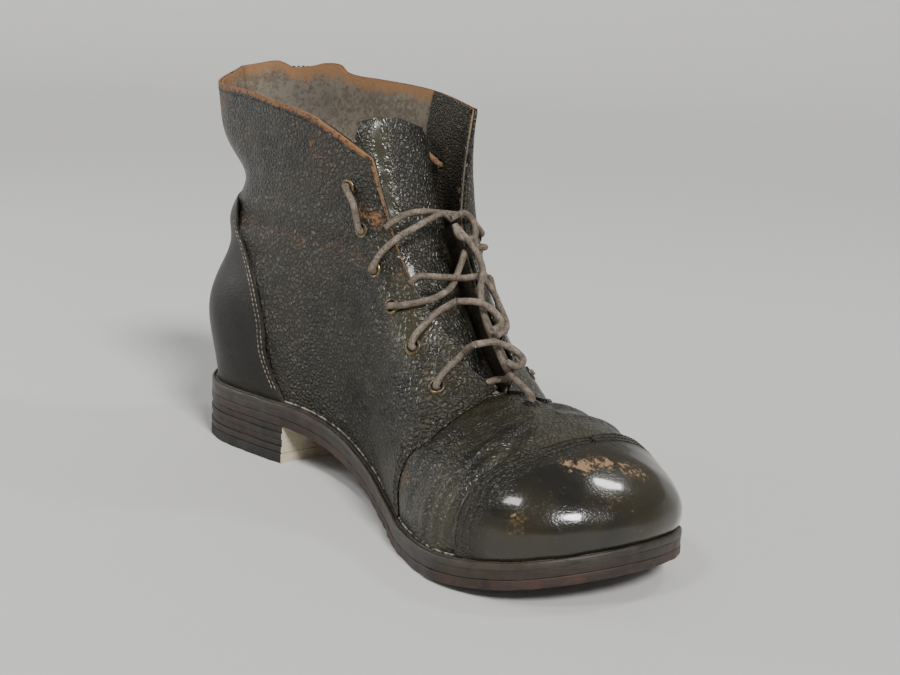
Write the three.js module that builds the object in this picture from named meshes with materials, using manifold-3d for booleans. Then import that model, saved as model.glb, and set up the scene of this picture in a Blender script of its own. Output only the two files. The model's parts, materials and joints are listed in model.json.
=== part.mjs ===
// A laced leather ankle boot for the left foot, in millimetres: +X towards the toe, +Y to the outer side,
// +Z up, standing on its heel and forefoot. The leather upper is one hollow shell on the shape of a last.
import * as THREE from "three";
import { mergeVertices } from "three/addons/utils/BufferGeometryUtils.js";
import Module from "manifold-3d";

const wasm = await Module();
wasm.setup();

// ---- Driving dimensions ----
const soleLength = 316;
const ballWidth = 101;
const heelRaise = 20; // floor to the underside of the outsole at the heel
const outsoleThickness = 4.4;
const midsoleThickness = 4;
const weltThickness = 3.4;
const toeSpring = 14;
const wall = 2.5; // leather of the upper with its lining
const gap = 0.3; // between pieces that lie on each other
const breastX = 90; // front face of the heel
const treadStartX = 198; // the flat part of the forefoot, from here
const treadEndX = 224; // to here
const upperSetback = 3.8; // how far the upper stands in from the sole's edge at the forefoot
const heelSetback = 5.5; // and at the heel
const topPiece = 5.5; // lowest lift of the heel
const insoleRise = 1.2; // insole above the feather line
const overlayThickness = 1.3; // toe cap and heel counter, standing proud of the upper
const eyeletHole = 2.8; // radius of the hole in the leather
const eyeletBore = 1.8;
const eyeletRim = 3.7;
// Where the eyelets sit on each side, as [station, level].
const eyeletPlaces = {
  "-1": [[0.403, 0.79], [0.437, 0.675], [0.475, 0.66], [0.52, 0.71], [0.57, 0.74], [0.62, 0.73]],
  1: [[0.378, 0.71], [0.425, 0.64], [0.47, 0.63], [0.515, 0.67], [0.565, 0.71], [0.615, 0.7]],
};
const laceDiameter = 3.2;
// Where each strand crosses the facing's edge.
const facingStations = [0.452, 0.482, 0.514, 0.546, 0.578, 0.612];
const turnShift = 0.011; // half the distance between a strand's way in and its way out, in stations
const laceOrder = [[-1, 3], [1, 3], [-1, 4], [1, 4], [-1, 5], [1, 5], [-1, 6], [1, 6]]; // [side, eyelet]
// The loops, the knot and the end that hang free, as [x, y, z] on the last.
const freeLace = {
  lace_loop_upper: [[201, -19, 105], [203, -8, 104], [206, -1, 100], [211, 0, 95], [214, -8, 93]],
  lace_loop_lower: [
    [218, -21, 89], [219, -11, 89], [222, -3, 86], [228, -1, 82], [231, -7, 80], [228, -11, 82],
  ],
  lace_knot: [[169, 2, 137], [168, 11, 139], [170, 16, 134], [175, 12, 128], [174, 4, 129], [170, 4, 134]],
  lace_end: [
    [180, 11, 121], [185, 10, 114], [192, 3, 107], [203, -3, 96], [215, -6, 86], [226, -8, 77],
    [239, -8, 71], [247, -12, 70],
  ],
};
// The cap's back edge as [x, y] across the forefoot, and the counter's top and front edge as [x, z].
const capEdgeShape = [
  [255, -100], [264, -60], [269, -44], [274, -28], [278, -7], [277, 22], [270, 54], [262, 100],
];
const counterEdgeShape = [
  [-30, 131], [8, 131], [34, 128], [46, 113], [66, 91], [75, 73], [76, 56], [82, 40], [92, 24],
];
// The tongue's middle line from its foot under the vamp to its top, its half widths there and its bend.
const tongueShape = [
  [231, -5, 53], [220, -4, 54], [205, -3, 63], [188, -3, 79], [172, -2, 98], [157, -2, 121], [148, -2, 145],
  [141, -2, 168], [138, -2, 180],
];
const tongueHalfFoot = 15;
const tongueHalfTop = 25;
const tongueBend = 0.8;
const tongueThickness = 2;

const soleStack = outsoleThickness + midsoleThickness + weltThickness;

// ---- Small helpers ----
const lerp = THREE.MathUtils.lerp;
const smooth = (x, low, high) => THREE.MathUtils.smoothstep(x, low, high);
const vec = (x, y, z) => new THREE.Vector3(x, y, z);
const curveThrough = (points, closed = false) =>
  new THREE.CatmullRomCurve3(points.map((p) => vec(...p)), closed, "catmullrom", 0.5);

// ---- The sole's outline, seen from above ----
const halfBall = ballWidth / 2;
const outlineShape = [
  // [share of the length, share of half the ball width], inner side first from the heel's back
  [-0.012, 0], [0.018, -0.52], [0.105, -0.87], [0.235, -0.82], [0.385, -0.63], [0.5, -0.7], [0.6, -0.93],
  [0.7, -1.23], [0.81, -1.37], [0.91, -1.18], [0.97, -0.76], [1, -0.16],
  [0.983, 0.36], [0.915, 0.71], [0.79, 0.93], [0.66, 0.96], [0.5, 0.86], [0.375, 0.75], [0.24, 0.7],
  [0.11, 0.7],
  [0.018, 0.44],
];
const toePoint = 11; // the outline's entry at the toe's tip
const outline = curveThrough(outlineShape.map(([x, y]) => [x * soleLength, y * halfBall, 0]), true);
outline.arcLengthDivisions = 2000;
const outlineLengths = outline.getLengths();
const toeShare = outlineLengths[Math.round((toePoint / outlineShape.length) * 2000)] / outlineLengths[2000];

// A point of the outline: side -1 is the inner side and 1 the outer, station runs from 0 at the heel's back
// to 1 at the toe's tip, and setback moves it in from the edge.
function outlinePoint(side, station, setback) {
  const share = side < 0 ? station * toeShare : 1 - station * (1 - toeShare);
  const at = ((share % 1) + 1) % 1;
  const point = outline.getPointAt(at);
  const along = outline.getTangentAt(at);
  return vec(point.x - along.y * setback, point.y + along.x * setback, 0);
}

const underside = (x) =>
  heelRaise * (1 - smooth(x, breastX - 4, treadStartX)) +
  toeSpring * Math.max(0, (x - treadEndX) / (soleLength - treadEndX)) ** 2;
const feather = (x) => underside(x) + soleStack;
const featherSetback = (station) => lerp(heelSetback, upperSetback, smooth(station, 0.25, 0.6));

// ---- The last: top line and sections ----
const collarEnd = 0.43; // station where the top line turns down the facing
const throatEnd = 0.66; // station where the facings meet on the ridge
const collar = {
  "-1": curveThrough([[-15, -2, 197], [7, -29, 190], [66, -40, 187], [114, -42, 180], [152, -34, 164]]),
  1: curveThrough([[-15, -2, 197], [9, 27, 203], [66, 39, 196], [110, 40, 192], [145, 36, 186]]),
};
const facing = {
  "-1": curveThrough([
    [152, -34, 164], [158, -29, 142], [168, -25, 119], [185, -23, 100], [200, -20, 86], [212, -16, 74],
    [222, -4, 65],
  ]),
  1: curveThrough([
    [145, 36, 186], [150, 27, 155], [159, 20, 130], [177, 15, 106], [193, 13, 88], [209, 10, 74],
    [222, -4, 65],
  ]),
};
const ridge = curveThrough([
  [222, -4, 65], [232, -4.5, 67], [246, -5.5, 66.5], [261, -6.5, 63.5], [277, -7, 57.5],
]);

function topLine(side, u) {
  if (u < collarEnd) return collar[side].getPointAt(u / collarEnd);
  if (u < throatEnd) return facing[side].getPointAt((u - collarEnd) / (throatEnd - collarEnd));
  return ridge.getPointAt(Math.min(1, (u - throatEnd) / (1 - throatEnd) / 0.75));
}
// How far round the arch of the section the top line lies: a quarter turn on the ridge.
const archAngle = (u) =>
  lerp(lerp(0.35, 1.1, smooth(u, 0.15, 0.5)), Math.PI / 2, smooth(u, 0.56, throatEnd));
const roofSlope = -0.28;

// The soft leg has sunk in above the stiff counter, whose top edge stands out as a ledge.
const ledge = (v) => 5 * Math.exp(-(((v - 0.5) / 0.07) ** 2)) - 6.5 * Math.exp(-(((v - 0.66) / 0.09) ** 2));

// A point of the upper's outer face. v runs from 0 at the feather line to 1 at the top line.
function lastPoint(side, u, v) {
  const foot = outlinePoint(side, u, featherSetback(u));
  const away = outlinePoint(side, u, featherSetback(u) - 1).sub(foot);
  const footZ = feather(foot.x);
  const top = topLine(side, u);
  const turn = archAngle(u);
  const inShare = (1 - Math.cos(v * turn) ** 0.9) / (1 - Math.cos(turn) ** 0.9);
  const upShare = Math.sin(v * turn) ** 0.85 / Math.sin(turn) ** 0.85;
  const slack = (side > 0 ? 0.45 : 0.1) * smooth(u, 0.45, 0.6) * (1 - smooth(u, 0.7, 0.8));
  const x = lerp(foot.x, top.x, lerp(inShare, v, slack));
  const y = lerp(foot.y, top.y, lerp(inShare, v, slack));
  const rise = top.z + roofSlope * (x - top.x) * smooth(u, throatEnd, 0.85);
  const heel = 1 - smooth(u, 0.05, 0.4);
  const low = 6.75 * v * (1 - v) ** 2;
  const swell = lerp(3.5, 2, heel) * low;
  const ankle = heel * (-26 * Math.exp(-(((v - 0.56) / 0.22) ** 2)) * (1 - v) + ledge(v));
  const out = swell + ankle + heel * 6 * Math.exp(-(((v - 0.2) / 0.14) ** 2));
  return vec(x + away.x * out, y + away.y * out, lerp(footZ, rise, lerp(upShare, v, slack)));
}

// ---- The last as a surface of points, shared by both sides along the heel's back, ridge and toe ----
const stations = [
  ...[0, 0.06, 0.12, 0.18, 0.24, 0.29, 0.34, 0.39, 0.43],
  ...[0.47, 0.51, 0.55, 0.59, 0.625, 0.66],
  ...[0.695, 0.73, 0.765, 0.8, 0.835, 0.87, 0.9, 0.93, 0.965, 1],
];
const levels = [0, 0.05, 0.1, 0.17, 0.25, 0.35, 0.45, 0.55, 0.65, 0.75, 0.85, 0.93, 1];

function lastSurface() {
  const positions = [];
  const index = new Map();
  const at = (side, i, j) => {
    const onRidge = j === levels.length - 1 && stations[i] >= throatEnd;
    const shared = i === 0 || i === stations.length - 1 || onRidge;
    const key = `${shared ? 0 : side} ${i} ${j}`;
    if (!index.has(key)) {
      index.set(key, positions.length / 3);
      positions.push(...lastPoint(side, stations[i], levels[j]).toArray());
    }
    return index.get(key);
  };
  const faces = [];
  for (const side of [-1, 1])
    for (let i = 0; i + 1 < stations.length; i++)
      for (let j = 0; j + 1 < levels.length; j++) {
        const [a, b] = [at(side, i, j), at(side, i + 1, j)];
        const [c, d] = [at(side, i + 1, j + 1), at(side, i, j + 1)];
        const quad = side < 0 ? [a, b, c, a, c, d] : [a, c, b, a, d, c];
        for (let k = 0; k < 6; k += 3) {
          const [p, q, r] = quad.slice(k, k + 3);
          if (p !== q && q !== r && r !== p) faces.push(p, q, r);
        }
      }
  const geometry = new THREE.BufferGeometry();
  geometry.setAttribute("position", new THREE.Float32BufferAttribute(positions, 3));
  geometry.setIndex(faces);
  geometry.computeVertexNormals();
  return geometry;
}

// The leather between two offsets of a surface, closed along the surface's edges.
function shell(surface, inner, outer) {
  const place = surface.getAttribute("position");
  const normal = surface.getAttribute("normal");
  const faces = Array.from(surface.index.array);
  const count = place.count;
  const positions = [];
  for (const offset of [outer, inner])
    for (let i = 0; i < count; i++)
      positions.push(
        place.getX(i) + normal.getX(i) * offset,
        place.getY(i) + normal.getY(i) * offset,
        place.getZ(i) + normal.getZ(i) * offset,
      );
  const all = [...faces];
  const edges = new Map();
  for (let k = 0; k < faces.length; k += 3) {
    const [a, b, c] = faces.slice(k, k + 3);
    all.push(a + count, c + count, b + count);
    for (const [p, q] of [[a, b], [b, c], [c, a]]) edges.set(`${p} ${q}`, [p, q]);
  }
  for (const [p, q] of edges.values())
    if (!edges.has(`${q} ${p}`)) all.push(q, p, p + count, q, p + count, q + count);
  const geometry = new THREE.BufferGeometry();
  geometry.setAttribute("position", new THREE.Float32BufferAttribute(positions, 3));
  geometry.setIndex(all);
  return geometry;
}

// A plate over the outline between two heights, as strips from side to side. The setback may change along
// the length, and the plate ends square across the foot at endX.
function plate(setback, bottom, top, endX = Infinity, count = 42) {
  const rows = [];
  const positions = [];
  const put = (point, z) => positions.push(point.x, point.y, z) / 3 - 1;
  let previous = null;
  for (let i = 0; i <= count; i++) {
    const station = i / count;
    let pair = [-1, 1].map((side) => outlinePoint(side, station, setback(station)));
    const past = pair.some((point) => point.x > endX);
    if (past)
      pair = pair.map((point, k) => {
        const share = (endX - previous[k].x) / (point.x - previous[k].x);
        return previous[k].clone().lerp(point, share);
      });
    const [inner, outer] = pair;
    rows.push({
      low: [put(inner, bottom(inner.x)), put(outer, bottom(outer.x))],
      high: [put(inner, top(inner.x)), put(outer, top(outer.x))],
    });
    previous = pair;
    if (past) break;
  }
  const faces = [];
  const quad = (a, b, c, d) => faces.push(a, b, c, a, c, d);
  for (let i = 0; i + 1 < rows.length; i++) {
    const [p, q] = [rows[i], rows[i + 1]];
    quad(p.high[0], q.high[0], q.high[1], p.high[1]);
    quad(p.low[1], q.low[1], q.low[0], p.low[0]);
    quad(p.low[0], q.low[0], q.high[0], p.high[0]);
    quad(p.high[1], q.high[1], q.low[1], p.low[1]);
  }
  const last = rows[rows.length - 1];
  if (endX < Infinity) quad(last.low[0], last.low[1], last.high[1], last.high[0]);
  return indexed(positions, faces);
}

function indexed(positions, faces) {
  const geometry = new THREE.BufferGeometry();
  geometry.setAttribute("position", new THREE.Float32BufferAttribute(positions, 3));
  geometry.setIndex(faces);
  return geometry;
}

// ---- Solids ----
function solid(geometry) {
  const bare = geometry.clone();
  for (const name of Object.keys(bare.attributes)) if (name !== "position") bare.deleteAttribute(name);
  const merged = mergeVertices(bare, 1e-3);
  const triangles = [];
  const indices = merged.index.array;
  for (let k = 0; k < indices.length; k += 3) {
    const [a, b, c] = indices.slice(k, k + 3);
    if (a !== b && b !== c && c !== a) triangles.push(a, b, c);
  }
  const vertProperties = merged.attributes.position.array;
  const triVerts = new Uint32Array(triangles);
  return new wasm.Manifold(new wasm.Mesh({ numProp: 3, vertProperties, triVerts }));
}

function geometryOf(manifold) {
  const made = manifold.getMesh();
  const positions = [];
  for (let i = 0; i < made.numVert; i++)
    positions.push(...made.vertProperties.slice(i * made.numProp, i * made.numProp + 3));
  return indexed(positions, Array.from(made.triVerts));
}

const boot = new THREE.Group();
function add(name, manifold, material) {
  const mesh = new THREE.Mesh(geometryOf(manifold), material);
  mesh.name = name;
  boot.add(mesh);
}

const leather = new THREE.MeshStandardMaterial({ color: 0x23241f, roughness: 0.5 });
const soleLeather = new THREE.MeshStandardMaterial({ color: 0x3a2c22, roughness: 0.7 });
const insoleLeather = new THREE.MeshStandardMaterial({ color: 0x9a8668, roughness: 0.8 });
const brass = new THREE.MeshStandardMaterial({ color: 0xb08d4a, roughness: 0.35, metalness: 1 });
const cord = new THREE.MeshStandardMaterial({ color: 0x6b5a47, roughness: 0.8 });

// A prism across the foot from a side outline of [x, z], or one standing on a plan outline of [x, y].
function prismAcross(points) {
  const shape = new THREE.Shape(points.map(([x, z]) => new THREE.Vector2(x, z)));
  const geometry = new THREE.ExtrudeGeometry(shape, { depth: 2 * ballWidth, bevelEnabled: false });
  return geometry.rotateX(Math.PI / 2).translate(0, ballWidth, 0);
}
function prismStanding(points) {
  const shape = new THREE.Shape(points.map(([x, y]) => new THREE.Vector2(x, y)));
  return new THREE.ExtrudeGeometry(shape, { depth: soleLength, bevelEnabled: false });
}

// ---- Sole: outsole, midsole and a welt ring round the upper, on a heel of lifts ----
const none = () => 0;
const midsoleBottom = (x) => underside(x) + outsoleThickness;
const weltBottom = (x) => midsoleBottom(x) + midsoleThickness;
const insideWall = (station) => featherSetback(station) + wall;

add("outsole", solid(plate(none, underside, (x) => midsoleBottom(x) - gap)), soleLeather);
add("midsole", solid(plate(none, midsoleBottom, (x) => weltBottom(x) - gap)), soleLeather);
const weltPlate = solid(plate(none, weltBottom, (x) => feather(x) - 3 * gap));
const weltHole = solid(plate(insideWall, (x) => weltBottom(x) - 5, (x) => feather(x) + 5));
add("welt", weltPlate.subtract(weltHole), soleLeather);
const insoleSetback = (station) => insideWall(station) + 5 * gap;
const insolePlate = plate(insoleSetback, (x) => weltBottom(x) + gap, (x) => feather(x) + insoleRise);
add("insole", solid(insolePlate), insoleLeather);
add("heel_stack", solid(plate(none, () => topPiece, () => heelRaise - gap, breastX, 72)), soleLeather);
add("heel_top_piece", solid(plate(none, () => 0, () => topPiece - gap, breastX, 72)), soleLeather);

// ---- Upper, with a hole for each eyelet ----
const last = lastSurface();

// A frame on the upper's outer face: z along the outward normal.
function onUpper(side, u, v) {
  const step = 0.01;
  const point = lastPoint(side, u, v);
  const along = lastPoint(side, u + step, v).sub(lastPoint(side, u - step, v));
  const up = lastPoint(side, u, v).sub(lastPoint(side, u, v - step));
  const normal = along.cross(up).normalize();
  if (side > 0) normal.negate();
  return { point, normal };
}

function turned(geometry, { point, normal }) {
  const turn = new THREE.Quaternion().setFromUnitVectors(vec(0, 1, 0), normal);
  return geometry.applyQuaternion(turn).translate(point.x, point.y, point.z);
}

const eyelets = [];
for (const side of [-1, 1])
  eyeletPlaces[side].forEach(([u, v], k) => {
    const name = `eyelet_${side < 0 ? "inner" : "outer"}_${k + 1}`;
    eyelets.push({ name, side, k, ...onUpper(side, u, v) });
  });

let upper = solid(shell(last, -wall, 0));
for (const eyelet of eyelets) {
  const drill = new THREE.CylinderGeometry(eyeletHole, eyeletHole, 6 * wall, 10);
  upper = upper.subtract(solid(turned(drill, eyelet)));
  const barrel = eyeletHole - gap;
  const ring = [
    [eyeletBore, -wall], [barrel, -wall], [barrel, 2 * gap], [eyeletRim, 2 * gap],
    [eyeletRim - 1, 2 * gap + 0.8], [eyeletBore, -wall],
  ].map(([x, y]) => new THREE.Vector2(x, y));
  add(eyelet.name, solid(turned(new THREE.LatheGeometry(ring, 10), eyelet)), brass);
}
add("upper", upper, leather);

// ---- Proud overlays: the toe cap and the heel counter ----
const soleSpace = solid(plate(() => -overlayThickness * 3, weltBottom, (x) => feather(x) - gap));
const overlay = solid(shell(last, gap, gap + overlayThickness)).subtract(soleSpace);
const beyond = 2 * soleLength;
const capEdge = capEdgeShape.map(([x, y]) => vec(x, y, 0));
const capLine = new THREE.CatmullRomCurve3(capEdge).getPoints(16).map(({ x, y }) => [x, y]);
const capRegion = solid(prismStanding([...capLine, [beyond, ballWidth], [beyond, -ballWidth]]));
add("toe_cap", overlay.intersect(capRegion), leather);
const counterCurve = new THREE.CatmullRomCurve3(counterEdgeShape.map(([x, z]) => vec(x, z, 0)));
const counterLine = counterCurve.getPoints(20);
const counterRegion = solid(prismAcross([...counterLine.map(({ x, y }) => [x, y]), [-beyond, 0]]));
add("heel_counter", overlay.intersect(counterRegion), leather);

// ---- Tongue: a curved tongue under the facings, cut to stay clear of the upper's inside ----
function tonguePlate() {
  const centre = curveThrough(tongueShape.map(([x, y, z]) => [x, y, z]));
  const rows = 18;
  const columns = 10;
  const positions = [];
  for (const side of [0, 1])
    for (let i = 0; i <= rows; i++)
      for (let j = 0; j <= columns; j++) {
        const share = i / rows;
        const point = centre.getPointAt(share);
        const along = centre.getTangentAt(share);
        const out = vec(-along.z, 0, along.x).multiplyScalar(-1).normalize();
        if (out.x < 0) out.negate();
        const bend = (j / columns - 0.5) * 2 * tongueBend;
        const radius = lerp(tongueHalfFoot, tongueHalfTop, share) / Math.sin(tongueBend);
        const inward = radius * (1 - Math.cos(bend)) + side * tongueThickness;
        const across = (radius - side * tongueThickness) * Math.sin(bend);
        positions.push(point.x - out.x * inward, point.y + across, point.z - out.z * inward);
      }
  const faces = [];
  const width = columns + 1;
  const layer = (rows + 1) * width;
  const quad = (a, b, c, d) => faces.push(a, b, c, a, c, d);
  for (let i = 0; i < rows; i++)
    for (let j = 0; j < columns; j++) {
      const a = i * width + j;
      quad(a, a + 1, a + width + 1, a + width);
      quad(layer + a, layer + a + width, layer + a + width + 1, layer + a + 1);
    }
  for (let i = 0; i < rows; i++) {
    const [a, b] = [i * width, i * width + columns];
    quad(a, a + width, layer + a + width, layer + a);
    quad(b, layer + b, layer + b + width, b + width);
  }
  for (let j = 0; j < columns; j++) {
    const [a, b] = [j, rows * width + j];
    quad(a, layer + a, layer + a + 1, a + 1);
    quad(b, b + 1, layer + b + 1, layer + b);
  }
  return indexed(positions, faces);
}
// The upper moved a little each way leaves the tongue clear of it all round.
const clearance = [[1, 0, 0], [-1, 0, 0], [0, 1, 0], [0, -1, 0], [0, 0, 1], [0, 0, -1]].map((way) =>
  upper.translate(way.map((share) => share * 2 * gap)),
);
const clearTongue = clearance.reduce((rest, form) => rest.subtract(form), solid(tonguePlate()));
const tonguePieces = clearTongue.decompose();
tonguePieces.sort((a, b) => b.volume() - a.volume());
add("tongue", tonguePieces[0], leather);

// ---- Lace: crossings over the throat, and the loops, knot and end that hang free ----
function tube(points, radius, steps, sides = 8) {
  const path = curveThrough(points);
  const open = new THREE.TubeGeometry(path, steps, radius, sides, false);
  const capped = Array.from(open.index.array);
  const position = Array.from(open.attributes.position.array);
  for (const [row, flip] of [[0, true], [steps, false]]) {
    const centre = path.getPoint(row / steps);
    position.push(...centre.toArray());
    const middle = position.length / 3 - 1;
    for (let k = 0; k < sides; k++) {
      const [a, b] = [row * (sides + 1) + k, row * (sides + 1) + k + 1];
      capped.push(...(flip ? [middle, a, b] : [middle, b, a]));
    }
  }
  return indexed(position, capped);
}
const laceRadius = laceDiameter / 2;
const laceLift = 2 * gap + 0.8 + laceRadius + 2 * gap;
// Each strand comes over the edge of one facing, turns at its eyelet and goes back over the edge.
const overEdge = (side, k, shift) => {
  const { point, normal } = onUpper(side, facingStations[k - 1] + shift, 1);
  return point.addScaledVector(normal, laceLift + 2).toArray();
};
const overEyelet = (side, k) => {
  const { point, normal } = eyelets.find((e) => e.side === side && e.k === k - 1);
  return point.clone().addScaledVector(normal, laceLift + 1).toArray();
};
const crossings = laceOrder.flatMap(([side, k], i) => [
  ...(i > 0 ? [overEdge(side, k, -turnShift)] : []),
  overEyelet(side, k),
  ...(i + 1 < laceOrder.length ? [overEdge(side, k, turnShift)] : []),
]);
add("lace_crossings", solid(tube(crossings, laceRadius, 76)), cord);

// The free cords hang over the throat, clear of the crossings.
for (const [name, places] of Object.entries(freeLace))
  add(name, solid(tube(places, laceRadius, 16)), cord);

// ---- The origin: the middle of the base, without the free lace ----
const held = new THREE.Box3();
for (const mesh of boot.children) if (!(mesh.name in freeLace)) held.expandByObject(mesh);
const middle = held.getCenter(new THREE.Vector3());
for (const mesh of boot.children) mesh.geometry.translate(-middle.x, -middle.y, -held.min.z);

export default boot;
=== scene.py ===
import json
import math

import bpy
import numpy as np
from mathutils import Matrix, Vector

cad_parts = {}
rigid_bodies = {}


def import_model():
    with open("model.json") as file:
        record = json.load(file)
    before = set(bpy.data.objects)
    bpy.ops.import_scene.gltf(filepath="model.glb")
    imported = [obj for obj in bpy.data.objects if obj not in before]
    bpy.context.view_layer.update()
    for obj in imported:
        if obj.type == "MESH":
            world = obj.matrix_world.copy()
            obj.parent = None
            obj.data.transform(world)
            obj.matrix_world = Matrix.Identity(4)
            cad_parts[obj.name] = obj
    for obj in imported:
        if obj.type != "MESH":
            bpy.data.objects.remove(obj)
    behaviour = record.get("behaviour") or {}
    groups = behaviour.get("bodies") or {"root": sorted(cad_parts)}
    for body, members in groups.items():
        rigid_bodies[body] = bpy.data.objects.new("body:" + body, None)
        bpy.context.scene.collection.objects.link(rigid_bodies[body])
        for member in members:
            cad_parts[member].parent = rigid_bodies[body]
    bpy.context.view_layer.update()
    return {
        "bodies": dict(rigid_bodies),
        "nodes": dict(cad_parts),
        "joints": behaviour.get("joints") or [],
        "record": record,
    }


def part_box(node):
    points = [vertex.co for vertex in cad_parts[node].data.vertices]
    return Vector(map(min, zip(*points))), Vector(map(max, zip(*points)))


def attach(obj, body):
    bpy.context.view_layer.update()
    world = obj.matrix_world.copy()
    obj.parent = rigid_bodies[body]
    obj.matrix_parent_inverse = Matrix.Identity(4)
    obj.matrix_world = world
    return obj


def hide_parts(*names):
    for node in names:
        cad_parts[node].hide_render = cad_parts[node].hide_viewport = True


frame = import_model()

bl_info = {
    "name": "Laced Ankle Boot",
    "version": (1, 0, 0),
    "blender": (4, 5, 0),
    "location": "View3D > Sidebar > Boot",
    "description": "Builds the leather, sole, eyelets, laces and stitching of a worn laced ankle boot",
    "category": "Object",
}

# ---- The last that everything is built on, in millimetres from the heel's back ----
SOLE_LENGTH = 316.0
HALF_BALL = 50.5
HEEL_RAISE = 20.0
OUTSOLE = 4.4
MIDSOLE = 4.0
WELT = 3.4
TOE_SPRING = 14.0
BREAST_X = 90.0
TREAD_START_X = 198.0
TREAD_END_X = 224.0
TOP_PIECE = 5.5
UPPER_SETBACK = 3.8
HEEL_SETBACK = 5.5
WALL = 2.5
COLLAR_END = 0.43
THROAT_END = 0.66
INNER, OUTER = -1, 1
SIDE_NAMES = {INNER: "inner", OUTER: "outer"}
ALONG, UPWARDS = 330, 150  # millimetres of leather for each unit of u and of v
PANEL = 1.3  # thickness of one layer of leather
OVERLAY_LIFT = 1.6
COUNTER_TOP = 0.585  # level of the counter's top edge
TUBE_STEP = 1.1
SAME_PLACE = 2e-6  # metres within which a grid's points merge

OUTLINE = [
    (-0.012, 0), (0.018, -0.52), (0.105, -0.87), (0.235, -0.82), (0.385, -0.63), (0.5, -0.7), (0.6, -0.93),
    (0.7, -1.23), (0.81, -1.37), (0.91, -1.18), (0.97, -0.76), (1, -0.16), (0.983, 0.36), (0.915, 0.71),
    (0.79, 0.93), (0.66, 0.96), (0.5, 0.86), (0.375, 0.75), (0.24, 0.7), (0.11, 0.7), (0.018, 0.44),
]
TOE_POINT = 11
COLLAR = {
    INNER: [(-15, -2, 197), (7, -29, 190), (66, -40, 187), (114, -42, 180), (152, -34, 164)],
    OUTER: [(-15, -2, 197), (9, 27, 203), (66, 39, 196), (110, 40, 192), (145, 36, 186)],
}
FACING = {
    INNER: [(152, -34, 164), (158, -29, 142), (168, -25, 119), (185, -23, 100), (200, -20, 86),
            (212, -16, 74), (222, -4, 65)],
    OUTER: [(145, 36, 186), (150, 27, 155), (159, 20, 130), (177, 15, 106), (193, 13, 88), (209, 10, 74),
            (222, -4, 65)],
}
RIDGE = [(222, -4, 65), (232, -4.5, 67), (246, -5.5, 66.5), (261, -6.5, 63.5), (277, -7, 57.5)]
# The cap's back edge seen from above as (x, y), and the counter's front edge from the side as (x, z).
CAP_EDGE = [(255, -100), (264, -60), (269, -44), (273, -28), (274.5, -7), (274, 22), (269, 54), (262, 100)]
COUNTER_EDGE = [(8, 131), (34, 128), (46, 113), (66, 91), (75, 73), (76, 56), (82, 40), (92, 24)]
TONGUE = [(231, -5, 53), (220, -4, 54), (205, -3, 63), (188, -3, 79), (172, -2, 98), (157, -2, 121),
          (148, -2, 145), (141, -2, 168), (138, -2, 180)]
EYELETS = {
    INNER: [(0.403, 0.79), (0.437, 0.675), (0.475, 0.66), (0.52, 0.71), (0.57, 0.74), (0.62, 0.73)],
    OUTER: [(0.378, 0.71), (0.425, 0.64), (0.47, 0.63), (0.515, 0.67), (0.565, 0.71), (0.615, 0.7)],
}


def lerp(a, b, t):
    return a + (b - a) * t


def smooth(x, low, high):
    t = np.clip((np.asarray(x, float) - low) / (high - low), 0, 1)
    return t * t * (3 - 2 * t)


def bell(x, middle, width):
    return np.exp(-(((np.asarray(x, float) - middle) / width) ** 2))


class Route:
    """A smooth curve through given points, read by its share of length."""

    def __init__(self, points, closed=False, steps=80):
        given = np.array([tuple(p) + (0,) * (3 - len(p)) for p in points], float)
        if closed:
            before, start, end, after = (np.roll(given, k, axis=0) for k in (1, 0, -1, -2))
        else:
            longer = np.vstack([2 * given[0] - given[1], given, 2 * given[-1] - given[-2]])
            before, start, end, after = longer[:-3], longer[1:-2], longer[2:-1], longer[3:]
        t = np.linspace(0, 1, steps, endpoint=False)[None, :, None]
        out, into = (end - before)[:, None] / 2, (after - start)[:, None] / 2
        start, end = start[:, None], end[:, None]
        bend = (2 * t**3 - 3 * t**2 + 1) * start + (t**3 - 2 * t**2 + t) * out
        bend = bend + (3 * t**2 - 2 * t**3) * end + (t**3 - t**2) * into
        self.points = np.vstack([bend.reshape(-1, 3), end[-1]])
        gone = np.cumsum(np.linalg.norm(np.diff(self.points, axis=0), axis=1))
        self.length = gone[-1]
        self.shares = np.concatenate([[0], gone / gone[-1]])
        self.knots = self.shares[::steps]

    def at(self, share):
        share = np.asarray(share, float)
        return np.stack([np.interp(share, self.shares, self.points[:, k]) for k in range(3)], -1)

    def along(self, share, step=1e-3):
        ahead = self.at(np.clip(share + step, 0, 1)) - self.at(np.clip(share - step, 0, 1))
        return ahead / np.linalg.norm(ahead, axis=-1, keepdims=True)


outline = Route([(x * SOLE_LENGTH, y * HALF_BALL) for x, y in OUTLINE], closed=True)
toe_share = outline.knots[TOE_POINT]
collar = {side: Route(points) for side, points in COLLAR.items()}
facing = {side: Route(points) for side, points in FACING.items()}
ridge = Route(RIDGE)


def outline_point(side, u, setback):
    """A point of the sole's edge, moved in by setback; side and u may be arrays."""
    side, u = np.broadcast_arrays(np.asarray(side, float), np.asarray(u, float))
    share = np.where(side < 0, u * toe_share, 1 - u * (1 - toe_share)) % 1.0
    step = 1e-4
    ahead = outline.at((share + step) % 1.0) - outline.at((share - step) % 1.0)
    ahead = ahead / np.linalg.norm(ahead, axis=-1, keepdims=True)
    inward = np.stack([-ahead[..., 1], ahead[..., 0], 0 * share], -1)
    return outline.at(share) + inward * np.asarray(setback)[..., None]


def underside(x):
    spring = np.maximum(0, (x - TREAD_END_X) / (SOLE_LENGTH - TREAD_END_X)) ** 2
    return HEEL_RAISE * (1 - smooth(x, BREAST_X - 4, TREAD_START_X)) + TOE_SPRING * spring


def feather(x):
    return underside(x) + OUTSOLE + MIDSOLE + WELT


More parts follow.
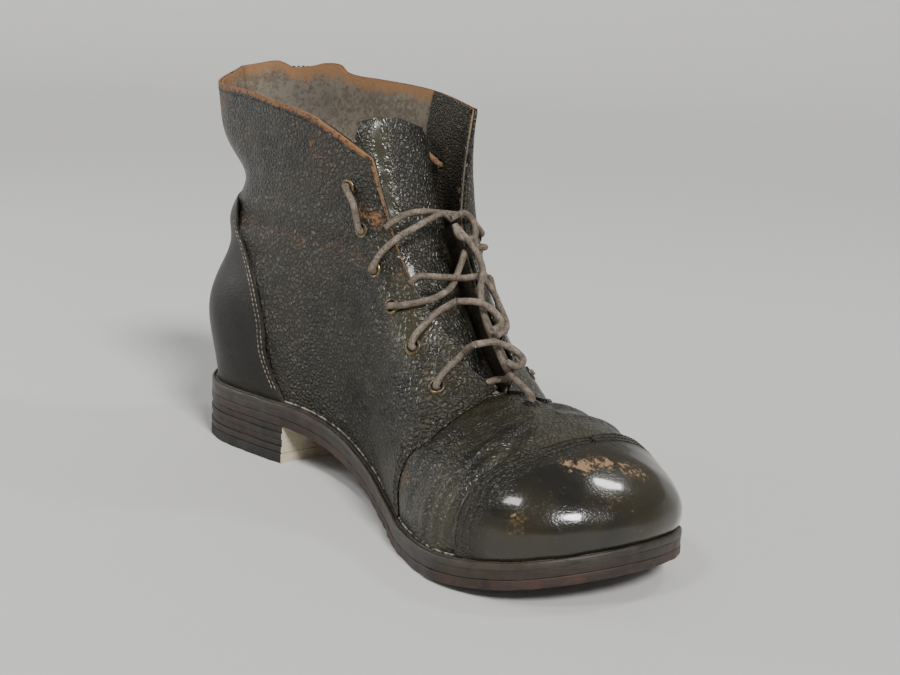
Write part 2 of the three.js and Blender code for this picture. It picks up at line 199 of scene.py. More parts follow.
def setback_at(u):
    return lerp(HEEL_SETBACK, UPPER_SETBACK, smooth(u, 0.25, 0.6))


def top_line(side, u):
    """The upper's top line: collar, then facing, then the ridge over the forefoot."""
    side, u = np.broadcast_arrays(np.asarray(side, float), np.asarray(u, float))
    made = np.zeros(u.shape + (3,))
    for one in (INNER, OUTER):
        here = side == one
        low, mid, high = here & (u < COLLAR_END), here & (u >= COLLAR_END), here & (u >= THROAT_END)
        made[low] = collar[one].at(u[low] / COLLAR_END)
        made[mid] = facing[one].at((u[mid] - COLLAR_END) / (THROAT_END - COLLAR_END))
        made[high] = ridge.at(np.minimum(1, (u[high] - THROAT_END) / (1 - THROAT_END) / 0.75))
    return made


def last_point(side, u, v):
    """The upper's outer face: v runs from the feather line to the top line."""
    side, u, v = np.broadcast_arrays(*(np.asarray(value, float) for value in (side, u, v)))
    foot = outline_point(side, u, setback_at(u))
    away = outline_point(side, u, setback_at(u) - 1) - foot
    top = top_line(side, u)
    turn = lerp(lerp(0.35, 1.1, smooth(u, 0.15, 0.5)), math.pi / 2, smooth(u, 0.56, THROAT_END))
    in_share = (1 - np.abs(np.cos(v * turn)) ** 0.9) / (1 - np.abs(np.cos(turn)) ** 0.9)
    up_share = np.sin(v * turn) ** 0.85 / np.sin(turn) ** 0.85
    slack = np.where(side > 0, 0.45, 0.1) * smooth(u, 0.45, 0.6) * (1 - smooth(u, 0.7, 0.8))
    across = lerp(in_share, v, slack)
    x, y = lerp(foot[..., 0], top[..., 0], across), lerp(foot[..., 1], top[..., 1], across)
    rise = top[..., 2] - 0.28 * (x - top[..., 0]) * smooth(u, THROAT_END, 0.85)
    heel = 1 - smooth(u, 0.05, 0.4)
    swell = lerp(3.5, 2, heel) * 6.75 * v * (1 - v) ** 2
    ledge = 5 * bell(v, 0.5, 0.07) - 6.5 * bell(v, 0.66, 0.09)
    out = swell + heel * (6 * bell(v, 0.2, 0.14) - 26 * bell(v, 0.56, 0.22) * (1 - v) + ledge)
    z = lerp(feather(foot[..., 0]), rise, lerp(up_share, v, slack))
    return np.stack([x + away[..., 0] * out, y + away[..., 1] * out, z], -1)


def last_normal(side, u, v):
    """The outward normal, shared by both sides where they meet."""
    side, u, v = np.broadcast_arrays(*(np.asarray(value, float) for value in (side, u, v)))

    def one_side(side):
        step = 0.004
        a, b = np.clip(u, step, 1 - step), np.clip(v, step, 1 - 3 * step)
        along = last_point(side, a + step, b) - last_point(side, a - step, b)
        up = last_point(side, a, b + step) - last_point(side, a, b - step)
        made = np.cross(along, up) * -side[..., None]
        return made / np.linalg.norm(made, axis=-1, keepdims=True)

    made = one_side(side)
    shared = (u < 1e-4) | (u > 1 - 1e-4) | ((v > 1 - 1e-4) & (u >= THROAT_END - 1e-4))
    both = made + one_side(-side)
    both = both / np.linalg.norm(both, axis=-1, keepdims=True)
    return np.where(shared[..., None], both, made)


def on_last(side, u, v, lift=0.0):
    return last_point(side, u, v) + last_normal(side, u, v) * np.asarray(lift, float)[..., None]


# ---- From the last's millimetres to the frame's metres ----
MM = 0.001
outsole_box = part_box("outsole")
shift = np.array([
    outsole_box[0][0] / MM - outline.points[:, 0].min(),
    outsole_box[0][1] / MM - outline.points[:, 1].min(),
    outsole_box[0][2] / MM,
])


def placed(points):
    """Points of the last, in millimetres, as points of the frame, in metres."""
    return (np.asarray(points, float) + shift) * MM


# ---- Relief of the worn leather ----
def lumps(points, size, seed, waves=10):
    """Soft unevenness from -1 to 1, the same on every run."""
    random = np.random.default_rng(seed)
    ways = random.normal(size=(waves, 3))
    ways /= np.linalg.norm(ways, axis=1)[:, None]
    rates = 2 * math.pi / size * random.uniform(0.6, 1.5, waves)
    turns = random.uniform(0, 2 * math.pi, waves)
    return np.sin(points @ (ways * rates[:, None]).T + turns).sum(-1) / waves * 2


def distance_to(points, line):
    """How far each point lies from a line of points."""
    flat = points.reshape(-1, 3)
    nearest = np.full(len(flat), 1e9)
    for spot in line:
        nearest = np.minimum(nearest, ((flat - spot) ** 2).sum(-1))
    return np.sqrt(nearest).reshape(points.shape[:-1])


def line_on_last(side, stations, count=48):
    """A smooth line over the last through (u, v) stations."""
    course = Route(stations).at(np.linspace(0, 1, count))
    return last_point(side, course[:, 0], course[:, 1])


# Each crease: side, its (u, v) stations, depth and half width in millimetres.
CREASES = [
    (INNER, [(0.70, 0.06), (0.712, 0.3), (0.735, 0.6), (0.76, 0.95)], 0.9, 3.2),
    (INNER, [(0.722, 0.04), (0.735, 0.3), (0.757, 0.62), (0.778, 0.85)], 1.0, 3.0),
    (INNER, [(0.745, 0.04), (0.757, 0.3), (0.78, 0.6)], 0.8, 2.6),
    (INNER, [(0.683, 0.1), (0.69, 0.32), (0.705, 0.52)], 0.7, 3.4),
    (INNER, [(0.765, 0.06), (0.78, 0.3), (0.80, 0.55), (0.80, 0.8)], 0.6, 2.4),
    (OUTER, [(0.70, 0.08), (0.712, 0.4), (0.74, 0.75)], 0.8, 3.4),
    (OUTER, [(0.73, 0.06), (0.745, 0.35), (0.775, 0.7), (0.79, 0.95)], 0.9, 3.2),
    (OUTER, [(0.765, 0.06), (0.785, 0.35), (0.81, 0.65)], 0.7, 2.8),
    (INNER, [(0.14, 0.54), (0.24, 0.5), (0.34, 0.5), (0.45, 0.57)], 1.3, 6.0),
    (INNER, [(0.2, 0.42), (0.3, 0.42), (0.42, 0.47), (0.5, 0.56)], 0.7, 5.0),
    (INNER, [(0.5, 0.3), (0.54, 0.42), (0.56, 0.58)], 0.7, 5.0),
    (INNER, [(0.56, 0.2), (0.6, 0.34), (0.61, 0.52)], 0.6, 4.0),
    (OUTER, [(0.14, 0.54), (0.26, 0.5), (0.38, 0.52)], 1.2, 6.0),
    (OUTER, [(0.22, 0.4), (0.34, 0.42), (0.45, 0.5)], 0.8, 5.0),
]
crease_lines = [(side, line_on_last(side, stations), depth, width) for side, stations, depth, width in CREASES]


def relief(side, u, v):
    """Height of creases, folds and unevenness over the last, in millimetres."""
    points = last_point(side, u, v)
    height = 0.22 * lumps(points, 26, 3) + 0.1 * lumps(points, 9, 4) * smooth(u, 0.3, 0.5)
    for one, line, depth, width in crease_lines:
        away = distance_to(points, line) / width
        trough = np.exp(-(away**2)) - 0.55 * np.exp(-(((away - 1.9) / 0.9) ** 2))
        height = height - np.where(np.asarray(side) == one, depth * trough, 0)
    return height * (1 - 0.85 * smooth(u, 0.8, 0.86))


def level_curve(points):
    """A smooth curve y(x) through given points."""
    line = Route(points).points
    return lambda x: np.interp(x, line[:, 0], line[:, 1])


# Where the quarters end over the vamp, as (v, u), and their top edge in front of the facings, as (u, v).
QUARTER_FRONT = {
    INNER: level_curve([(0, 0.63), (0.28, 0.642), (0.46, 0.656), (0.72, 0.668), (0.92, 0.667), (1, 0.652)]),
    OUTER: level_curve([(0, 0.62), (0.25, 0.63), (0.5, 0.655), (0.75, 0.7), (0.93, 0.752), (1, 0.768)]),
}
QUARTER_TOP = {
    INNER: level_curve([(0, 1), (0.6, 1), (0.63, 0.985), (0.655, 0.92), (0.68, 0.86)]),
    OUTER: level_curve([(0, 1), (0.64, 1), (0.7, 0.99), (0.78, 0.965)]),
}
COLLAR_WAVE = {
    INNER: level_curve([(0, 0.5), (0.08, -0.6), (0.16, 0.4), (0.26, -0.3), (0.34, 0.5), (0.42, 0), (1, 0)]),
    OUTER: level_curve([
        (0, 0.5), (0.045, 0.5), (0.06, -1.5), (0.075, -4.5), (0.1, -3.5), (0.125, -0.5),
        (0.15, 0.5), (0.165, -2.5),
        (0.19, -2.5), (0.23, -1), (0.3, 0), (0.42, 0), (1, 0),
    ]),
}


def quarter_lift(side, u, v):
    over_vamp = 1.15 * smooth(u, 0.5, 0.6)
    return 0.2 + over_vamp + relief(side, u, v) * lerp(1, 0.5, smooth(v, 0.85, 1))


levels = np.linspace(0, 1, 121)


def edge_stations(drawn, axis, way, low, high):
    """The station u where an edge drawn from above or from the side crosses each of the levels."""
    edge = level_curve([(way * height, x) for x, height in drawn])
    found = {}
    for side in (INNER, OUTER):
        before, after = np.full(len(levels), low), np.full(len(levels), high)
        for _ in range(30):
            middle = (before + after) / 2
            point = last_point(side, middle, levels)
            short = point[:, 0] < edge(way * point[:, axis])
            before, after = np.where(short, middle, before), np.where(short, after, middle)
        found[side] = (before + after) / 2
    return found


cap_edge = edge_stations(CAP_EDGE, 1, 1, 0.7, 0.97)
counter_edge = edge_stations(COUNTER_EDGE, 2, -1, 0.02, 0.45)


def station(edge, side, v):
    """The station u of such an edge at level v."""
    return np.where(np.asarray(side) < 0, np.interp(v, levels, edge[INNER]), np.interp(v, levels, edge[OUTER]))


# ---- Modelling helpers ----
def deselect_all():
    if bpy.context.object and bpy.context.object.mode != "OBJECT":
        bpy.ops.object.mode_set(mode="OBJECT")
    bpy.ops.object.select_all(action="DESELECT")


def make_active(piece):
    deselect_all()
    piece.select_set(True)
    bpy.context.view_layer.objects.active = piece


def in_edit_mode(piece, *steps, select="SELECT", kind="FACE"):
    """Runs mesh operators on all of a piece's faces, or on what the steps select themselves."""
    make_active(piece)
    bpy.ops.object.mode_set(mode="EDIT")
    bpy.ops.mesh.select_mode(type=kind)
    bpy.ops.mesh.select_all(action=select)
    for step in steps:
        step()
    bpy.ops.object.mode_set(mode="OBJECT")


def face_outwards():
    bpy.ops.mesh.normals_make_consistent(inside=False)


def smooth_shade(piece, degrees=50):
    make_active(piece)
    bpy.ops.object.shade_smooth_by_angle(angle=math.radians(degrees))


def link_new(name, data):
    piece = bpy.data.objects.new(name, data)
    bpy.context.scene.collection.objects.link(piece)
    return piece


def dress(piece, material, slot, *nodes):
    """Gives a finished piece its material and its body, and hides the CAD nodes it stands for. The slot is not
    used.
    """
    piece.data.materials.clear()
    piece.data.materials.append(materials[material])
    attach(piece, "root")
    if nodes:
        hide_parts(*nodes)
    return piece


def paint_finish(mesh, rub, shine, dust):
    """Stores rub, shine and dust, each from 0 to 1, as the colour attribute that the leathers read."""
    count = len(mesh.vertices)
    values = [np.broadcast_to(value, (count,)) for value in (np.clip(rub, 0, 1), shine, dust, 1)]
    layer = mesh.color_attributes.new("finish", "FLOAT_COLOR", "POINT")
    layer.data.foreach_set("color", np.stack(values, 1).astype(float).ravel())


def sheet_piece(name, columns, rows, place, turned=False, thickness=0.0, holes=(), degrees=50):
    """A grid shaped onto the boot. place(s, t) gives points in millimetres, then their rub, shine and dust."""
    deselect_all()
    bpy.ops.mesh.primitive_grid_add(x_subdivisions=columns, y_subdivisions=rows, size=2)
    piece = bpy.context.object
    piece.name = name
    mesh = piece.data
    spread = np.empty(len(mesh.vertices) * 3)
    mesh.vertices.foreach_get("co", spread)
    s, t = (spread.reshape(-1, 3)[:, :2].T + 1) / 2
    points, rub, shine, dust = place(np.clip(s, 0, 1), np.clip(t, 0, 1))
    mesh.vertices.foreach_set("co", placed(points).ravel())
    paint_finish(mesh, rub, shine, dust)
    if holes:
        punch(piece, holes)
    in_edit_mode(piece, lambda: bpy.ops.mesh.remove_doubles(threshold=SAME_PLACE))
    if turned:
        in_edit_mode(piece, bpy.ops.mesh.flip_normals)
    if thickness:
        make_active(piece)
        modifier = piece.modifiers.new("Thickness", "SOLIDIFY")
        modifier.thickness, modifier.offset = thickness * MM, -1
        bpy.ops.object.modifier_apply(modifier=modifier.name)
    smooth_shade(piece, degrees)
    return piece


def punch(piece, holes):
    """Opens a hole in a sheet round each (point, radius)."""
    mesh = piece.data
    centres = np.empty(len(mesh.polygons) * 3)
    mesh.polygons.foreach_get("center", centres)
    centres = centres.reshape(-1, 3)
    inside = np.zeros(len(centres), bool)
    for point, radius in holes:
        inside |= np.linalg.norm(centres - placed(point), axis=1) < radius * MM
    in_edit_mode(piece, select="DESELECT")
    mesh.polygons.foreach_set("select", inside)
    bpy.ops.object.mode_set(mode="EDIT")
    bpy.ops.mesh.delete(type="FACE")
    bpy.ops.object.mode_set(mode="OBJECT")


def unit(vectors):
    return vectors / np.linalg.norm(vectors, axis=-1, keepdims=True)


def copies_piece(name, form, frames):
    """One mesh holding a copy of form's mesh at each frame: rows (origin, along, up), in millimetres."""
    origin, along, up = (np.array([frame[k] for frame in frames]) for k in range(3))
    along = unit(along)
    side = unit(np.cross(up, along))
    turns = np.stack([along, side, np.cross(along, side)], -1)
    base = np.array([vertex.co[:] for vertex in form.data.vertices])
    points = np.einsum("fij,vj->fvi", turns, base) + origin[:, None]
    corners = [tuple(face.vertices) for face in form.data.polygons]
    faces = [tuple(corner + k * len(base) for corner in face) for k in range(len(frames)) for face in corners]
    mesh = bpy.data.meshes.new(name)
    mesh.from_pydata(placed(points).reshape(-1, 3).tolist(), [], faces)
    bpy.data.objects.remove(form, do_unlink=True)
    piece = link_new(name, mesh)
    smooth_shade(piece)
    return piece


def tube_piece(name, points, radius, sides=4):
    """A round cord along a smooth line through points in millimetres, with its path and length in metres."""
    route = Route(points)
    count = max(8, int(route.length / TUBE_STEP))
    course = placed(route.at(np.linspace(0, 1, count)))
    curve = bpy.data.curves.new(name, "CURVE")
    curve.dimensions = "3D"
    curve.bevel_depth = radius * MM
    curve.bevel_resolution = sides
    curve.use_fill_caps = True
    spline = curve.splines.new("POLY")
    spline.points.add(count - 1)
    spline.points.foreach_set("co", np.concatenate([course, np.ones((count, 1))], 1).ravel())
    make_active(link_new(name, curve))
    bpy.ops.object.convert(target="MESH")
    piece = bpy.context.object
    smooth_shade(piece, 60)
    return piece, course, route.length * MM


# ---- Node helpers ----
class Value:
    """One output of a shader node. Math nodes add it to, take it from or multiply it by another, or a number."""

    def __init__(self, nodes, socket):
        self.nodes, self.socket = nodes, socket

    def __add__(self, other):
        return self.nodes.math("ADD", self, other)

    def __sub__(self, other):
        return self.nodes.math("SUBTRACT", self, other)

    def __rsub__(self, other):
        return self.nodes.math("SUBTRACT", other, self)

    def __mul__(self, other):
        return self.nodes.math("MULTIPLY", self, other)

    def clamped(self):
        """Holds the result of the last sum between 0 and 1."""
        self.socket.node.use_clamp = True
        return self


class Nodes:
    """Short ways to add and join shader nodes in one tree."""

    def __init__(self, tree):
        self.tree = tree

    def add(self, kind, **settings):
        node = self.tree.nodes.new(kind)
        for name, value in settings.items():
            setattr(node, name, value)
        return node

    def wire(self, node, inputs, output=0):
        """Gives a node its inputs, by name or number, and reads one of its outputs."""
        for key, value in inputs.items():
            if isinstance(value, Value):
                self.tree.links.new(value.socket, node.inputs[key])
            else:
                node.inputs[key].default_value = value
        return Value(self, node.outputs[output]) if node.outputs else None

    def math(self, operation, a, b):
        return self.wire(self.add("ShaderNodeMath", operation=operation), {0: a, 1: b})

    def ramp(self, value, low, high, start=0.0, end=1.0):
        node = self.add("ShaderNodeMapRange", interpolation_type="SMOOTHSTEP")
        return self.wire(node, dict(enumerate((value, low, high, start, end))))

    def blend(self, share, a, b):
        node = self.add("ShaderNodeMix", data_type="RGBA", clamp_factor=True)
        a, b = (tone if isinstance(tone, Value) else (*tone, 1) for tone in (a, b))
        return self.wire(node, {0: share, 6: a, 7: b}, 2)

    def noise(self, vector, scale, detail=3.0, rough=0.55, warp=0.0):
        inputs = {"Vector": vector, "Scale": scale, "Detail": detail, "Roughness": rough, "Distortion": warp}
        return self.wire(self.add("ShaderNodeTexNoise"), inputs, "Fac")

    def stretched(self, vector, scale, turn=(0, 0, 0)):
        return self.wire(self.add("ShaderNodeMapping"), {"Vector": vector, "Scale": scale, "Rotation": turn})

    def bump(self, height, distance, strength):
        node = self.add("ShaderNodeBump")
        return self.wire(node, {"Height": height, "Distance": distance, "Strength": strength})


groups = {}


def make_group(name, inputs, outputs):
    """A named node group. An input with no default value is a vector."""
    tree = groups[name] = bpy.data.node_groups.new(name, "ShaderNodeTree")
    for label, value in inputs.items():
        kind = "NodeSocketVector" if value is None else "NodeSocketFloat"
        socket = tree.interface.new_socket(label, in_out="INPUT", socket_type=kind)
        if value is not None:
            socket.default_value = value
    for label in outputs:
        tree.interface.new_socket(label, in_out="OUTPUT", socket_type="NodeSocketFloat")
    nodes = Nodes(tree)
    entry = nodes.add("NodeGroupInput").outputs
    return nodes, [Value(nodes, entry[label]) for label in inputs], nodes.add("NodeGroupOutput")


def use_group(nodes, name, **values):
    """The outputs of a group placed in a material with its own values."""
    node = nodes.add("ShaderNodeGroup", node_tree=groups[name])
    nodes.wire(node, values)
    made = [Value(nodes, output) for output in node.outputs]
    return made if len(made) > 1 else made[0]


def grain_group():
    """Pebbled leather grain: rounded cells with furrows between them, and a finer grain on top."""
    inputs = {"Vector": None, "Cells": 450.0, "Fineness": 0.3}
    nodes, (vector, cells, fineness), out = make_group("Leather Grain", inputs, ["Height", "Furrow"])
    wobble = nodes.wire(nodes.add("ShaderNodeTexNoise"), {"Vector": vector, "Scale": 180.0}, "Color")
    shifted = nodes.wire(
        nodes.add("ShaderNodeVectorMath", operation="MULTIPLY_ADD"), {0: wobble, 1: (0.0022,) * 3, 2: vector})
    pebbles = nodes.add("ShaderNodeTexVoronoi", feature="DISTANCE_TO_EDGE")
    distance = nodes.wire(pebbles, {"Vector": shifted, "Scale": cells}, "Distance")
    dome = nodes.ramp(distance, 0.0, 0.32)
    fine = nodes.noise(vector, cells * 3.1, 2.0) * fineness
    nodes.wire(out, {"Height": dome + fine, "Furrow": nodes.ramp(distance, 0.26, 0.04)})


def rub_group():
    """Patches where the surface is rubbed through, ragged at their edges."""
    inputs = {"Vector": None, "Amount": 0.5, "Scale": 60.0}
    nodes, (vector, amount, scale), out = make_group("Rubbed Patches", inputs, ["Mask"])
    broad, fine = nodes.noise(vector, scale, 4.0, 0.65), nodes.noise(vector, scale * 9.0, 3.0, 0.7)
    edge = 0.86 - amount * 0.72
    nodes.wire(out, {"Mask": nodes.ramp(broad * 0.45 + fine * 0.55, edge, edge + 0.06)})


def dust_group():
    """A film of dust, thicker in furrows and in soft patches."""
    inputs = {"Vector": None, "Amount": 0.3, "Furrow": 0.0}
    nodes, (vector, amount, furrow), out = make_group("Dust Film", inputs, ["Mask"])
    patches = nodes.ramp(nodes.noise(vector, 70.0, 5.0, 0.7), 0.35, 0.75)
    specks = nodes.ramp(nodes.noise(vector, 900.0, 2.0, 0.6), 0.6, 0.72)
    film = patches * (specks * 0.65 + 0.35)
    nodes.wire(out, {"Mask": ((film + furrow * 0.25) * amount).clamped()})


def scratch_group():
    """Fine scratches running mostly along one way."""
    nodes, (vector, scale), out = make_group("Fine Scratches", {"Vector": None, "Scale": 240.0}, ["Mask"])
    lines = nodes.noise(nodes.stretched(vector, (0.1, 1.0, 1.0), (0.4, 0.3, 0.9)), scale, 3.0, 0.6)
    nodes.wire(out, {"Mask": nodes.ramp(lines, 0.62, 0.7)})


# ---- Materials ----
materials = {}
DUST = (0.082, 0.073, 0.05)
DRY_DIRT = (0.2, 0.17, 0.13)
SCRATCH = (0.12, 0.1, 0.07)


def shade(colour, by):
    return tuple(part * by for part in colour)


def start_material(name):
    """A new material with its nodes, its shader and its Object coordinates."""
    material = bpy.data.materials.new(name)
    material.use_nodes = True
    nodes = Nodes(material.node_tree)
    place = Value(nodes, nodes.add("ShaderNodeTexCoord").outputs["Object"])
    return material, nodes, material.node_tree.nodes["Principled BSDF"], place


def painted_finish(nodes):
    """Rub, shine and dust, as painted on a sheet's points."""
    painted = Value(nodes, nodes.add("ShaderNodeVertexColor", layer_name="finish").outputs["Color"])
    split = nodes.add("ShaderNodeSeparateColor")
    nodes.wire(split, {0: painted})
    return [Value(nodes, output) for output in split.outputs]


def leather(name, tones, cells, grain_depth, roughness, dust, coat, wear=0.3, gloss=0.4, furrow=0.85):
    """Worn leather in four tones: polish, its worn patches, rubbed brown and raw. The grain's furrows carry
    painted shade.
    """
    material, nodes, shader, place = start_material(name)
    colour, tint, brown, raw = tones
    rub, shine, dusty = painted_finish(nodes)
    grain, furrows = use_group(nodes, "Leather Grain", Vector=place, Cells=cells, Fineness=0.35)
    broad = nodes.noise(place, 28.0, 3.0, 0.6)
    surface = nodes.blend(nodes.ramp(broad, 0.3, 0.6), colour, tint)
    rubbed = use_group(nodes, "Rubbed Patches", Vector=place, Amount=rub * 0.34 + wear, Scale=55.0)
    surface = nodes.blend(rubbed * (1.0 - furrows * 0.85), surface, brown)
    # How much the grain shows, both in its bump and in the painted shade of its furrows; less where the leather
    # is shiny.
    relief_share = (1.3 - shine * 1.22).clamped()
    # Painted shade: the grain's furrows darken towards a quarter of the polish colour.
    surface = nodes.blend(furrows * relief_share * furrow, surface, shade(colour, 0.25))
    ragged = nodes.noise(place, 420.0, 5.0, 0.75) * 2.4 - 1.2
    bare = nodes.ramp(rub + ragged, 0.78, 0.92)
    raw_tone = nodes.blend(nodes.noise(place, 260.0, 4.0, 0.7), raw, shade(raw, 0.45))
    surface = nodes.blend(bare, surface, raw_tone)
    film = use_group(nodes, "Dust Film", Vector=place, Amount=dusty + dust, Furrow=furrows)
    surface = nodes.blend(film, surface, DUST)
    lines = use_group(nodes, "Fine Scratches", Vector=place, Scale=300.0)
    relief = grain * (1.0 - bare * 0.7) * relief_share + nodes.noise(place, 900.0, 2.0) * 0.07
    nodes.wire(shader, {
        "Base Color": nodes.blend(lines * 0.1, surface, SCRATCH),
        "Roughness": (broad * 0.16 + roughness - shine * 0.24 + bare * 0.4 + film * 0.35).clamped(),
        "Coat Weight": (shine - bare).clamped() * coat,
        "Coat Roughness": 0.09,
        "Specular IOR Level": gloss,
        "Normal": nodes.bump(relief - lines * 0.1, grain_depth, 0.9),
    })
    return material


def suede(name, colour, stain, grey, tan):
    """Pale leather with a worn nap, stained and dirty, and tan where the finish attribute says rubbed."""
    material, nodes, shader, place = start_material(name)
    rub = painted_finish(nodes)[0]
    patches = use_group(nodes, "Rubbed Patches", Vector=place, Amount=0.55, Scale=38.0)
    broad = nodes.noise(place, 22.0, 5.0, 0.7)
    surface = nodes.blend(nodes.ramp(broad, 0.35, 0.65), colour, grey)
    surface = nodes.blend(patches * 0.55, surface, stain)
    nap = nodes.noise(place, 1400.0, 3.0, 0.7)
    specks = nodes.ramp(nodes.noise(place, 420.0, 3.0, 0.75), 0.56, 0.66)
    surface = nodes.blend(specks * 0.6, surface, shade(grey, 0.35))
    surface = nodes.blend(nap * 0.3, surface, shade(colour, 0.5))
    streaks = nodes.noise(place, 90.0, 4.0, 0.7) * 0.9 - 0.45
    rim = nodes.ramp(rub + streaks, 0.25, 0.8)
    nodes.wire(shader, {
        "Base Color": nodes.blend(rim * 0.85, surface, tan),
        "Roughness": nodes.ramp(broad, 0.0, 1.0, 0.78, 0.95),
        "Specular IOR Level": 0.25,
        "Normal": nodes.bump(nap + specks * -0.5, 0.0003, 0.8),
    })
    return material


def sole_leather(name, colour, brown, dust_amount, roughness):
    """Burnished leather edge, with its fibres, chips and dirt."""
    material, nodes, shader, place = start_material(name)
    fibres = nodes.noise(nodes.stretched(place, (0.25, 0.25, 2.2)), 420.0, 4.0, 0.7)
    broad = nodes.noise(place, 45.0, 5.0, 0.65)
    surface = nodes.blend(nodes.ramp(broad, 0.42, 0.7), colour, brown)
    surface = nodes.blend(nodes.ramp(fibres, 0.45, 0.75) * 0.5, surface, brown)
    chips = use_group(nodes, "Rubbed Patches", Vector=place, Amount=0.36, Scale=110.0)
    surface = nodes.blend(chips * 0.7, surface, shade(brown, 2.2))
    film = use_group(nodes, "Dust Film", Vector=place, Amount=dust_amount, Furrow=0.0)
    nodes.wire(shader, {
        "Base Color": nodes.blend(film, surface, DRY_DIRT),
        "Roughness": (nodes.ramp(broad, 0.3, 0.7, roughness, roughness + 0.2) + film).clamped(),
        "Normal": nodes.bump(fibres * 0.8 + chips * -0.8, 0.0005, 0.8),
    })
    return material


def brass(name):
    """Black-painted brass, worn to the metal on the raised parts."""
    material, nodes, shader, place = start_material(name)
    worn = use_group(nodes, "Rubbed Patches", Vector=place, Amount=0.52, Scale=260.0)
    metal = nodes.blend(nodes.noise(place, 500.0, 3.0), (0.5, 0.36, 0.14), (0.22, 0.16, 0.08))
    nodes.wire(shader, {
        "Base Color": nodes.blend(worn, (0.02, 0.02, 0.018), metal),
        "Metallic": worn,
        "Roughness": nodes.ramp(worn, 0.0, 1.0, 0.42, 0.3),
        "Normal": nodes.bump(nodes.noise(place, 1500.0, 2.0), 0.0001, 0.6),
    })
    return material


def cord_leather(name, colour, pale, dark):
    """Round leather lace, dull and creased, with a paler rubbed side."""
    material, nodes, shader, place = start_material(name)
    broad = nodes.noise(place, 140.0, 4.0, 0.65)
    cracks = nodes.ramp(nodes.noise(place, 1100.0, 4.0, 0.7, 0.6), 0.52, 0.62) * 0.6
    nodes.wire(shader, {
        "Base Color": nodes.blend(cracks, nodes.blend(nodes.ramp(broad, 0.4, 0.7), colour, pale), dark),
        "Roughness": nodes.ramp(broad, 0.3, 0.7, 0.6, 0.85),
        "Normal": nodes.bump(broad - cracks, 0.0004, 0.7),
    })
    return material


def thread(name, colour, dirt):
    """Waxed sewing thread, dirty in its twist."""
    material, nodes, shader, place = start_material(name)
    soil = nodes.ramp(nodes.noise(place, 300.0, 4.0, 0.7), 0.4, 0.6)
    nodes.wire(shader, {
        "Base Color": nodes.blend(soil, colour, dirt),
        "Roughness": nodes.ramp(soil, 0.0, 1.0, 0.55, 0.8),
        "Normal": nodes.bump(nodes.noise(place, 4000.0, 1.0), 0.0001, 0.7),
    })
    return material


def make_materials():
    """Makes the shared effects, then every material of the boot."""
    choice, thong = bpy.context.scene.boot_leather, bpy.context.scene.boot_lace
    for build in (grain_group, rub_group, dust_group, scratch_group):
        build()
    black, olive, brown, raw = (tuple(value) for value in (choice.black, choice.olive, choice.brown, choice.raw))
    worn, smooth_tones = (black, olive, brown, raw), (black, black, brown, raw)
    polished = (black, (0.024, 0.02, 0.009), (0.085, 0.058, 0.024), (0.42, 0.26, 0.14))
    # Leathers: tones, grain cells and their depth, roughness, dust, coat, wear, gloss, painted shade in the
    # furrows.
    # Sole edges: tone, rubbed tone, dust, roughness. Threads: tone, dirt.
    for name, build, label, *values in (
        ("upper", leather, "Boot Upper Leather", worn, 390.0, 0.0011, 0.36, 0.04, 0.0, 0.3, 0.5, 0.95),
        ("vamp", leather, "Boot Vamp Leather", worn, 450.0, 0.0005, 0.36, 0.04, 0.0, 0.3, 0.5, 0.8),
        ("cap", leather, "Polished Cap Leather", polished, 560.0, 0.0004, 0.4, 0.01, 0.8, 0.33, 0.35, 0.7),
        ("counter", leather, "Smooth Counter Leather", smooth_tones, 520.0, 0.00012,
         0.5, 0.02, 0.15, 0.24, 0.25, 0.3),
        ("tongue", leather, "Tongue Leather", worn, 440.0, 0.0007, 0.34, 0.02, 0.25, 0.25, 0.7),
        ("facing", leather, "Facing Leather", worn, 560.0, 0.0006, 0.4, 0.05, 0.0, 0.27, 0.5),
        ("lining", suede, "Suede Lining", (0.26, 0.22, 0.17), (0.1, 0.075, 0.05), (0.17, 0.15, 0.125),
         (0.33, 0.175, 0.08)),
        ("insole", suede, "Insole Leather", (0.2, 0.15, 0.1), (0.08, 0.055, 0.035), (0.12, 0.1, 0.08),
         (0.2, 0.12, 0.06)),
        ("outsole", sole_leather, "Outsole Edge", (0.015, 0.009, 0.007), (0.06, 0.026, 0.015), 0.3, 0.4),
        ("midsole", sole_leather, "Midsole Edge", (0.015, 0.012, 0.009), (0.042, 0.028, 0.017), 0.3, 0.32),
        ("welt", sole_leather, "Welt Leather", (0.02, 0.017, 0.013), (0.055, 0.042, 0.028), 0.4, 0.32),
        ("breast", sole_leather, "Heel Breast", (0.62, 0.54, 0.4), (0.3, 0.22, 0.14), 0.3, 0.7),
        ("heel", sole_leather, "Heel Lifts", (0.01, 0.008, 0.007), (0.036, 0.022, 0.014), 0.32, 0.45),
        ("rubber", sole_leather, "Heel Top Piece", (0.012, 0.012, 0.012), (0.03, 0.027, 0.024), 0.5, 0.7),
        ("eyelet", brass, "Worn Eyelet Brass"),
        ("lace", cord_leather, "Lace Leather", tuple(thong.colour), tuple(thong.pale), (0.012, 0.009, 0.007)),
        ("brown_lace", cord_leather, "Rubbed Lace Leather", (0.2, 0.1, 0.05), (0.38, 0.22, 0.11),
         (0.04, 0.02, 0.012)),
        ("crust", thread, "Dried Polish", (0.42, 0.4, 0.35), (0.03, 0.028, 0.024)),
        ("thread", thread, "Dark Seam Thread", (0.05, 0.042, 0.03), (0.014, 0.012, 0.01)),
        ("pale_thread", thread, "Pale Seam Thread", (0.27, 0.235, 0.175), (0.08, 0.068, 0.048)),
        ("welt_thread", thread, "Welt Thread", (0.09, 0.075, 0.05), (0.03, 0.025, 0.018)),
    ):
        materials[name] = build(label, *values)


# ---- Where the pieces lie on the last ----
def on_quarter(side, u, v, extra=0.0):
    return on_last(side, u, v, quarter_lift(side, u, v) + extra)


def on_overlay(side, u, v, extra=0.0):
    return on_last(side, u, v, OVERLAY_LIFT + extra)


